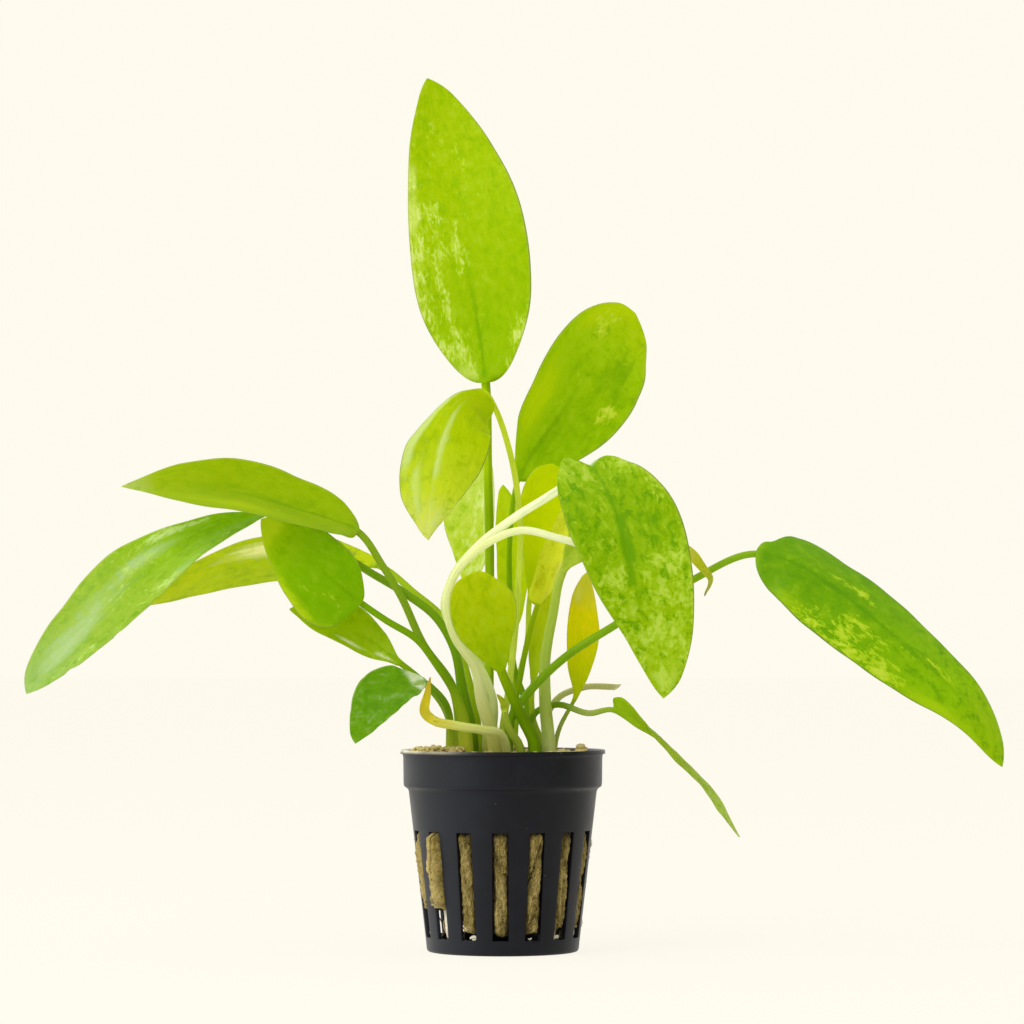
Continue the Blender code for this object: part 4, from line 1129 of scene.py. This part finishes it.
plant_leaf(
    "leaf_far_right", "leaf_deep", base=(1.5, -7), thick=(1.2, 0.9), turn=(-38, -34, -28), cup=-0.2,
    ripple=(0.25, 2.6, 0.0), nicks=[(1, 0.03, 0.3, 0.02)],
    stalk=[
        (2.5, -7.5, 61.5), (6, -8, 66.5), (15.5, -9, 76), (28.5, -12, 84.5), (48, -17, 96),
        (65, -22, 103),
    ],
    rib=[
        (73.5, -25, 101), (84.5, -29, 94), (95.5, -33, 85), (106.5, -36, 75), (117.5, -37, 64),
        (126, -36, 49),
    ],
    left=(9.3, 10.6, 10.6, 8, 4.6), right=(9, 13, 12.6, 7.5, 2.6),
    blade={0: (110, 164, 0), 0.35: (114, 168, 0), 0.7: (140, 188, 0), 1: (156, 194, 0)},
    stem={0: (120, 160, 10), 0.4: (136, 176, 14), 1: (142, 182, 24)},
    fleck=(176, 207, 22), core=(194, 216, 62), midrib=(92, 152, 0), rib_end=0.95, seed=6.6,
    dark=(92, 150, 0), pale=(168, 202, 10), rough=0.36, shine=0.1, flecks=-0.25, rim=(120, 150, 60),
    flecked_and_glints=[
        (-0.8, 0.4, 0.35, 0.21, 1.25), (-0.3, 0.4, 0.22, 0.14, 0.5), (-0.75, 0.52, 0.3, 0.1, 0.3),
        (0.35, 0.33, 0.14, 0.13, 1.1), (0.18, 0.66, 0.13, 0.08, 1.1), (-0.15, 0.55, 0.2, 0.12, 0.6),
        (0.35, 0.12, 0.12, 0.06, 0.7),
    ],
    paled_and_sheen=[(-0.85, 0.75, 0.3, 0.2, 0.7), (-0.9, 0.18, 0.3, 0.12, 0.6)],
    darkened_and_shade=[(0.05, 0.3, 0.16, 0.3, 0.4), (0.15, 0.75, 0.12, 0.12, 0.3), (-0.2, 0.2, 0.2, 0.1, 0.3)],
)
plant_leaf(
    "leaf_low_right", "leaf_deep", base=(7.5, 0), thick=(0.9, 0.75), turn=(10, 76, 80, 78, 76),
    ripple=(0.15, 3, 0), lobes=(4.2, 0.8),
    stalk=[(7, 0.5, 59.5), (8.5, 1, 62), (13, -0.5, 64), (22.5, -8, 62), (28.5, -13, 63)],
    rib=[(36, -17, 59), (45, -24, 51), (53, -32, 42.5), (59.5, -40, 31.5)],
    left=(3.9, 3, 4.5, 4.2, 1.6), right=(1.2, 2.6, 4.5, 4.2, 1.6),
    blade={0: (140, 180, 10), 0.4: (160, 188, 30), 1: (176, 200, 90)},
    stem={0: (100, 144, 0), 0.55: (120, 158, 20), 0.8: (166, 182, 90), 1: (150, 180, 40)},
    seed=7.7, dark=(128, 166, 10),
)
plant_leaf(
    "leaf_gold", "leaf_yellow", base=(13.6, 1.2), thick=(0.7, 0.5), turn=(10, 10, 10), cup=0.15,
    ripple=(0.15, 2, 2), stalk=[(15, 0.8, 58.5), (16.8, 0.8, 62), (18.5, 1, 65)],
    rib=[(20, 4, 74.5), (21, 7, 83.5), (22, 11, 91.5), (22.5, 16, 99)], left=(0.9, 3.2, 4.3, 4.1, 1.9),
    right=(1, 3.3, 4.4, 2.6, 0.9),
    blade={0: (168, 190, 10), 0.25: (196, 204, 0), 0.65: (222, 212, 0), 1: (216, 216, 70)},
    stem={0: (170, 184, 110), 1: (150, 176, 30)},
    seed=9.2, dark=(196, 206, 0), pale=(224, 224, 120), fleck=(232, 222, 30), rim=(190, 196, 70),
    mottle=0.7,
    paled_and_sheen=[(0.6, 0.8, 0.4, 0.1, 0.5)],
)

# ---------------------------------------------------------------------------------------------
# The leaves on the left: two long ones reach out over each other, the broad dark one hangs before
# them, and behind and below are a yellow one, a lime one and a small glossy one.

plant_leaf(
    "leaf_left_high", "leaf_lime", base=(-10.5, 2), thick=(1.1, 0.9), turn=(52, 52, 46), cup=0.24,
    ripple=(0.2, 2, 1.0), sheath=(0.9, 12),
    stalk=[(-13.5, 1, 69.5), (-20.5, -2, 79.5), (-26.5, -7, 92.5), (-31, -10, 100), (-37.5, -14, 109)],
    rib=[(-44.5, -16.5, 112), (-54.5, -19, 115), (-67, -21, 118.5), (-80.5, -24, 120), (-97, -28, 120)],
    left=(6, 9, 11, 9, 2.5), right=(6.5, 10, 11, 7.5, 2.2),
    blade={
        0: (156, 188, 10), 0.25: (152, 183, 0), 0.6: (152, 181, 0), 0.86: (160, 186, 14),
        1: (190, 204, 110),
    },
    stem={0: (176, 190, 44), 0.2: (124, 162, 14), 0.6: (144, 178, 40), 1: (150, 184, 34)},
    seed=11.1, midrib=(122, 166, 0), rib_end=0.7, dark=(128, 170, 0), pale=(176, 200, 14), mottle=0.6,
    fleck=(176, 202, 30), flecks=-0.3, shade=0.3,
    flecked_and_glints=[(0.3, 0.5, 0.3, 0.3, 0.4), (0.1, 0.15, 0.1, 0.1, 0.6)],
    paled_and_sheen=[(0.6, 0.55, 0.35, 0.45, 0.62), (0.12, 0.15, 0.05, 0.14, 0.6)],
    darkened_and_shade=[(-0.1, 0.35, 0.2, 0.35, 0.5), (-0.8, 0.4, 0.2, 0.4, 0.3)],
)
plant_leaf(
    "leaf_left_long", "leaf_deep", base=(-8.5, -2.5), thick=(1.2, 0.9), turn=(46, 42, 36), cup=0.2,
    ripple=(0.25, 2.5, 0.0),
    nicks=[(1, 0.87, 0.12, 0.014), (1, 0.55, 0.06, 0.01), (1, 0.7, 0.08, 0.008)], sheath=(0.9, 14),
    stalk=[
        (-10.5, -2.5, 67.5), (-13, -3, 79.5), (-17.5, -3.5, 87), (-24.5, -4, 92.5), (-36, -5, 99.5),
        (-47, -7, 107), (-57.5, -10, 114.5),
    ],
    rib=[
        (-66.5, -14, 112), (-79, -20, 106), (-92.5, -27, 95.5), (-105.5, -34, 82), (-119.5, -41, 67.5),
    ],
    left=(2, 6, 10.5, 9, 4), right=(1.2, 6.8, 12.4, 10.5, 5.4),
    blade={
        0: (142, 198, 0), 0.2: (146, 200, 0), 0.45: (150, 188, 24), 0.75: (154, 188, 56),
        1: (156, 192, 100),
    },
    stem={0: (120, 154, 20), 0.2: (112, 154, 6), 0.6: (126, 168, 14), 1: (130, 176, 12)},
    fleck=(178, 210, 80), core=(204, 226, 150), pale=(184, 209, 150), seed=12.5, size=0.6,
    dark=(122, 172, 10), rough=0.32, shine=0.12, flecks=-0.1, shade=0.3, mottle=0.9,
    # The narrow fleck and pale spot near a margin are painted glints, and the broad pale areas painted
    # sheen.
    flecked_and_glints=[
        (-0.5, 0.5, 0.5, 0.2, 0.5), (0.7, 0.5, 0.3, 0.2, 0.6), (-0.8, 0.31, 0.12, 0.1, 1.5),
        (0.6, 0.84, 0.2, 0.08, 0.9),
    ],
    paled_and_sheen=[
        (-0.45, 0.42, 0.22, 0.12, 0.6), (-0.3, 0.66, 0.45, 0.15, 0.5), (0.8, 0.42, 0.25, 0.14, 0.5),
        (-0.2, 0.86, 0.5, 0.13, 0.5), (-0.75, 0.33, 0.06, 0.08, 0.7),
    ],
    darkened_and_shade=[(0.1, 0.1, 0.8, 0.1, 0.2), (0.85, 0.62, 0.12, 0.02, 0.9), (0.3, 0.75, 0.1, 0.02, 0.8)],
)
plant_leaf(
    "leaf_left_broad", "leaf_deep", base=(-9.5, -8.5), thick=(1.0, 0.85), turn=(8, 10, 12), cup=0.12,
    ripple=(0.2, 2, 0.0), sheath=(0.9, 13),
    stalk=[(-12.5, -10, 67.5), (-17, -12, 74.5), (-22, -13.5, 81), (-30, -15, 86), (-36.5, -16, 90.5)],
    rib=[
        (-41.5, -18, 94.5), (-47.5, -19.5, 99.5), (-53.5, -19.5, 104.5), (-58.5, -19, 108.5),
        (-62, -19, 112),
    ],
    left=(9, 12.6, 10.8, 6.6, 2.3), right=(4, 8, 8.6, 7.4, 3.2),
    blade={0: (130, 182, 0), 0.5: (132, 184, 0), 0.85: (162, 200, 0), 1: (182, 210, 0)},
    stem={0: (228, 228, 80), 0.2: (176, 192, 40), 0.4: (124, 162, 10), 1: (130, 176, 10)},
    seed=13.9, fleck=(176, 206, 40), core=(196, 214, 80), midrib=(120, 172, 0), dark=(118, 172, 0),
    pale=(192, 216, 20), flecks=-0.3, mottle=0.6, shade=0.2,
    flecked_and_glints=[(0.45, 0.25, 0.5, 0.25, 0.55)],
    # The pale tip is painted light against the shade of the leaf above it.
    paled_and_sheen=[(1.0, 0.4, 0.22, 0.4, 0.7), (0.3, 0.97, 1.2, 0.14, 1.5)],
    darkened_and_shade=[(-0.3, 0.3, 0.4, 0.25, 0.4), (0.3, 0.6, 0.3, 0.1, 0.4)],
)
plant_leaf(
    "leaf_left_yellow", "leaf_yellow", base=(-7, 5.5), thick=(1.0, 0.85), turn=(48, 50, 50),
    ripple=(0.25, 2, 2.0), sheath=(0.9, 13),
    stalk=[(-8, 7, 65), (-10.5, 11, 75.5), (-16, 16, 87), (-23.5, 20, 93.5), (-33.5, 25, 101)],
    rib=[(-46.5, 29, 102), (-61.5, 34, 102), (-77, 40, 99.5), (-91, 46, 94.5), (-102, 51, 90)],
    left=(3, 9, 9.5, 7, 2.5), right=(4, 10, 10, 6.5, 2.2),
    blade={
        0: (192, 208, 14), 0.18: (184, 200, 4), 0.32: (156, 180, 0), 0.6: (160, 180, 0),
        1: (170, 182, 0),
    },
    stem={0: (150, 180, 20), 1: (168, 198, 30)},
    seed=14.4, pale=(222, 222, 150), dark=(132, 162, 0), fleck=(190, 200, 20), mottle=0.9,
    paled_and_sheen=[(-0.5, 0.45, 0.35, 0.18, 0.7), (-0.5, 0.12, 0.3, 0.08, 0.2)],
)
plant_leaf(
    "leaf_left_inner", "leaf_lime", base=(-12.5, -2.5), thick=(0.9, 0.8), turn=(24, 24, 24), cup=0.15,
    ripple=(0.15, 2, 0.0), sheath=(0.3, 10), stalk=[(-15.5, -5, 64), (-20, -7, 69.5), (-26.5, -9, 75)],
    rib=[(-31.5, -9, 79), (-39, -8, 83.5), (-47.5, -6, 87), (-55.5, -4, 89)],
    left=(2, 4.8, 5.2, 4.3, 1.4), right=(1.2, 4, 6.5, 5.5, 2),
    blade={0: (160, 194, 30), 0.4: (156, 190, 0), 1: (164, 194, 0)},
    stem={0: (200, 208, 70), 0.3: (160, 184, 40), 0.6: (126, 164, 14), 1: (140, 178, 10)},
    seed=15.1, pale=(226, 234, 180), midrib=(136, 178, 0), dark=(130, 172, 0), flecks=-0.3,
    flecked_and_glints=[(0.3, 0.15, 0.6, 0.12, 0.7), (0.6, 0.4, 0.2, 0.2, 0.5)],
    paled_and_sheen=[(0.5, 0.12, 0.2, 0.1, 0.8), (0.7, 0.4, 0.12, 0.14, 0.8), (-0.3, 0.1, 0.15, 0.05, 0.6)],
)
plant_leaf(
    "leaf_left_glossy", "leaf_deep", base=(-13.5, -7.5), thick=(1.0, 0.85), turn=(30, 30, 30), cup=0.2,
    ripple=(0.3, 2.5, 0.6), sheath=(0.3, 8), stalk=[(-15, -13, 65), (-17.5, -16, 68), (-20, -19, 70)],
    rib=[(-23.5, -23, 69), (-28, -29, 65.5), (-32.5, -35, 60), (-37, -40, 55)],
    left=(2, 3.8, 3.6, 2.4, 0.8), right=(3, 9, 9.4, 6.6, 3),
    blade={0: (150, 186, 90), 0.14: (108, 162, 0), 0.6: (100, 156, 0), 1: (112, 164, 0)},
    stem={0: (200, 208, 70), 0.3: (160, 184, 40), 0.6: (112, 154, 10), 1: (120, 164, 30)},
    seed=16.9, fleck=(196, 214, 158), core=(232, 238, 222), size=1.0, stretch=0.25,
    pale=(214, 226, 188), midrib=(124, 168, 30), rib_end=0.4, dark=(80, 136, 0), rough=0.3, shine=0.14,
    mottle=0.7,
    # The whitish patch at the base, in flecks and pale, is a painted gloss highlight.
    flecked_and_glints=[(0.1, 0.06, 1.3, 0.08, 1.9)], paled_and_sheen=[(0.1, 0.055, 1.3, 0.075, 1.5)],
)

# ---------------------------------------------------------------------------------------------
# The leaves in the middle and behind it: pale and thin, they stand close together, and light
# shines through two or three of them at once.

plant_leaf(
    "leaf_back_mottled", "leaf_pale", base=(-3.5, 9.5), thick=(1.0, 0.8), turn=(-15, -20, -25),
    cup=0.12, ripple=(0.3, 2, 0.7), stalk=[(-4, 13, 65), (-6.5, 19, 78.5), (-9, 27, 94)],
    rib=[(-8.5, 31, 102.5), (-8, 36, 112), (-7, 41, 121.5), (-5.5, 47, 134.5)],
    left=(2, 5, 8.4, 8, 3.5), right=(2, 5.2, 6, 4.6, 2.2),
    blade={0: (180, 206, 20), 0.4: (186, 208, 50), 1: (196, 216, 100)},
    stem={0: (176, 196, 80), 1: (196, 210, 80)},
    fleck=(206, 224, 120), core=(218, 230, 156), seed=17.3, size=0.27, flecks=0.36, dark=(158, 194, 24),
    pale=(220, 230, 168), mottle=1.2, through=0.6,
    flecked_and_glints=[(-0.5, 0.7, 0.4, 0.3, 0.3)], paled_and_sheen=[(-0.8, 0.5, 0.35, 0.4, 0.8)],
    darkened_and_shade=[(0.5, 0.5, 0.3, 0.3, 0.3)],
)
plant_leaf(
    "leaf_back_slim", "leaf_lime", base=(3, 5), thick=(0.9, 0.7), turn=(30, 34, 38), cup=0.15,
    ripple=(0.2, 2, 0.7), stalk=[(3.5, 9, 64), (1.5, 14, 78.5)],
    rib=[(1, 16.5, 87), (1.5, 19, 97), (2, 21, 107.5), (1.5, 23, 115.5), (0, 25, 122.5)],
    left=(1.5, 3.2, 4.6, 5.2, 2.8), right=(1.5, 4.8, 5.6, 4, 1.8),
    blade={0: (176, 206, 0), 0.5: (192, 216, 0), 1: (200, 220, 10)},
    stem={0: (150, 184, 30), 1: (160, 194, 16)},
    seed=18.2, dark=(168, 200, 0), through=0.6,
)
plant_leaf(
    "leaf_back_yellow", "leaf_yellow", base=(2, 11), thick=(0.9, 0.7), turn=(0, 6, 12),
    ripple=(0.2, 2, 1.7), stalk=[(3.5, 13, 68), (6.5, 13, 81), (7, 12, 91.5)],
    rib=[(8.5, 10, 99.5), (10, 9.5, 110), (11.5, 9.5, 119), (13, 10, 127.5)],
    left=(0.9, 3, 5.2, 6.8, 4.5), right=(0.9, 2.2, 6, 7.5, 5.4),
    blade={0: (190, 214, 10), 0.5: (206, 222, 0), 1: (204, 222, 0)},
    stem={0: (190, 208, 80), 1: (200, 220, 50)},
    seed=19.4, dark=(190, 212, 0), through=0.6, fleck=(214, 222, 0),
)
plant_leaf(
    "leaf_olive", "leaf_lime", base=(1.5, -2.5), thick=(0.9, 0.65), turn=(-10, -15, -20), cup=0.15,
    ripple=(0.15, 2, 0.2), stalk=[(2.5, -2, 61.5), (4, -1, 68.5), (6.5, 1, 81), (9, 3, 90)],
    rib=[(11, 4, 95.5), (13, 5, 102), (16, 6, 108.5), (19, 7, 115), (23, 8, 120.5)],
    left=(3.2, 3.3, 3.6, 3.5, 1.5), right=(1.5, 4, 5.4, 4.8, 2),
    blade={0: (222, 228, 40), 0.5: (230, 234, 54), 1: (228, 234, 76)},
    stem={0: (110, 154, 0), 0.6: (120, 164, 0), 1: (160, 188, 10)},
    seed=20.6, pale=(232, 236, 120), dark=(184, 192, 6), through=0.6,
    paled_and_sheen=[(-0.7, 0.5, 0.3, 0.5, 0.7)], darkened_and_shade=[(0.6, 0.2, 0.35, 0.2, 0.6)],
)
plant_leaf(
    "leaf_young", "leaf_yellow", base=(10.5, 3), thick=(0.9, 0.7), turn=(20, 25, 30), cup=0.2,
    ripple=(0.15, 2, 0.2), stalk=[(8, 3, 60), (7.5, 3, 65.5), (8, 3, 70.5)],
    rib=[(8.5, 3.5, 76), (9.5, 5, 83), (11.5, 7, 90), (12.5, 9, 97), (14, 11, 102)],
    left=(1.3, 2.4, 2.5, 2.4, 1.1), right=(1.2, 2.6, 3.1, 3, 1.4),
    blade={0: (176, 202, 20), 0.5: (196, 212, 10), 1: (202, 216, 20)},
    stem={0: (160, 188, 60), 1: (170, 196, 30)},
    seed=21.7, dark=(170, 196, 0), through=0.6,
)
plant_leaf(
    "leaf_hidden", "leaf_pale", base=(12, -3), thick=(1.8, 1.1), turn=(0, -10, -20), cup=0.15,
    ripple=(0.15, 2, 0.2), stalk=[(11, -4, 65.5), (11, -5, 76), (13, -6, 87.5), (15.5, -6, 98.5)],
    rib=[(19.5, -5, 104.5), (24, -3, 109.5), (29, 1, 114), (34.5, 6, 118.5)], left=(1.3, 4, 6, 5, 2),
    right=(1.3, 4, 6, 5, 2),
    blade={0: (184, 204, 70), 0.5: (172, 204, 20), 1: (170, 204, 10)},
    stem={0: (214, 226, 150), 0.25: (184, 200, 96), 0.6: (178, 200, 80), 1: (186, 206, 80)},
    seed=22.8, dark=(146, 178, 30),
)

# ---------------------------------------------------------------------------------------------
# What has died back: a withered strap with its tip turned up, a dry sheath at the foot of the
# stalks, and the stump of a stalk that was cut off at a slant.

plant_leaf(
    "withered_strap", "withered", base=(1, -11.5), thick=(1.1, 1.2), cup=0.2, ripple=(0.15, 3, 0.2),
    stalk=[(-0.5, -14, 56.8), (-4.5, -18, 57.8), (-12, -22, 59.1), (-18, -24.5, 60.7)],
    rib=[(-19.7, -25.5, 62.4), (-19.2, -26, 67), (-18.4, -26, 71.5)], left=(1.3, 1.3, 1.1, 0.7, 0.3),
    right=(1.3, 1.3, 1.1, 0.7, 0.3),
    blade={0: (216, 206, 60), 0.5: (212, 198, 30), 0.88: (204, 180, 50), 1: (150, 112, 60)},
    stem={
        0: (160, 166, 84), 0.2: (200, 206, 130), 0.4: (216, 224, 146), 0.75: (220, 226, 124),
        1: (220, 210, 60),
    },
    seed=23.1, dark=(206, 200, 60), through=0.35,
)
plant_leaf(
    "dry_sheath", "withered", base=(4.5, -9.5), thick=(0.8, 0.8), cup=0.3, ripple=(0.15, 3, 0.2),
    sheath=(0.5, 6), stalk=[(1.5, -11, 58.5), (0.5, -12, 62.5)], rib=[(0, -12.5, 65), (-1.5, -13, 67)],
    left=(0.8, 0.9, 0.8, 0.6, 0.3), right=(0.8, 0.9, 0.8, 0.6, 0.3),
    blade={0: (186, 202, 50), 0.75: (182, 196, 40), 1: (206, 184, 50)},
    stem={0: (146, 170, 50), 1: (180, 198, 70)},
    seed=24.6, dark=(146, 170, 24), through=0.35,
)

CUT_RADIUS = 0.9
CUT_RINGS = 70
CUT_CORNERS = 24
# The skin gets thinner towards the cut by this share, and leans by this much over the last bit.
CUT_TAPER = 0.12
CUT_LEAN = 0.9
CUT_LENGTH = 3.0
CUT_STOPS = [
    (0, seen(156, 162, 76)), (0.5, seen(174, 180, 92)), (0.93, seen(182, 184, 104)),
    (1, seen(214, 210, 156)),
]
route, walk = middle_line((12, 8), [(12, 10, 62), (15, 12, 66), (21.5, 14, 68.5), (30.5, 17, 68.5)])
end = walk[-1]
at = np.linspace(0, end, CUT_RINGS)
centre = smooth(walk, route, at)
ahead = unit(np.gradient(centre, at, axis=0))
first = unit(np.cross(ahead, (0, 1, 0)))
axes = np.stack([first, np.cross(ahead, first), ahead], axis=1)
turn = 2 * math.pi * np.arange(CUT_CORNERS)[None] / CUT_CORNERS
# Shallow grooves run along the skin, and the last rings lean over to the slanting cut.
at = at[:, None]
groove = 1 + 0.05 * np.sin(7 * turn) + 0.03 * np.sin(at * 0.8 + 3 * turn)
radius = CUT_RADIUS * groove * (1 - CUT_TAPER * at / end)
lean = np.clip((at - end + CUT_LENGTH) / CUT_LENGTH, 0, 1) * CUT_LEAN * np.cos(turn)
skin = centre[:, None] + turned(radius, turn, lean) @ axes
lip = skin[-1:] * 0.35 + skin[-1:].mean(axis=1, keepdims=True) * 0.65 - 0.15 * ahead[-1]
share = np.append(at / end, 1.15)[:, None]
notes = {"stem": np.stack(np.broadcast_arrays(share, turn, 0.0), axis=-1)}
stump = surface("cut_stalk_stump", np.concatenate([skin, lip]), closed=True, caps=(0, -1), notes=notes)
finish, tree, shader = plain_shader("cut stalk")
stem = noted(tree, "stem")
streak = node(tree, "ShaderNodeMapping", {"Vector": stem, "Scale": (3.0, 2.2, 1.0)}).outputs[0]
grain = noise(tree, streak, 4.0, 5.0)
patchy = maths(tree, "MULTIPLY_ADD", grain, 0.9, -0.3, clamp=True)
body = ramp(tree, parts(tree, stem)["X"], CUT_STOPS)
give(tree, shader, {
    "Base Color": blend(tree, patchy, body, seen(150, 152, 96)), "Roughness": 0.55,
    "Normal": bump(tree, grain, 0.4, 0.15),
})
stump.data.materials.append(finish)
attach(stump, "root")
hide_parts("cut_stalk")

sizes = {"cad": cad_box, "visual": [list(corner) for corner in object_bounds()]}
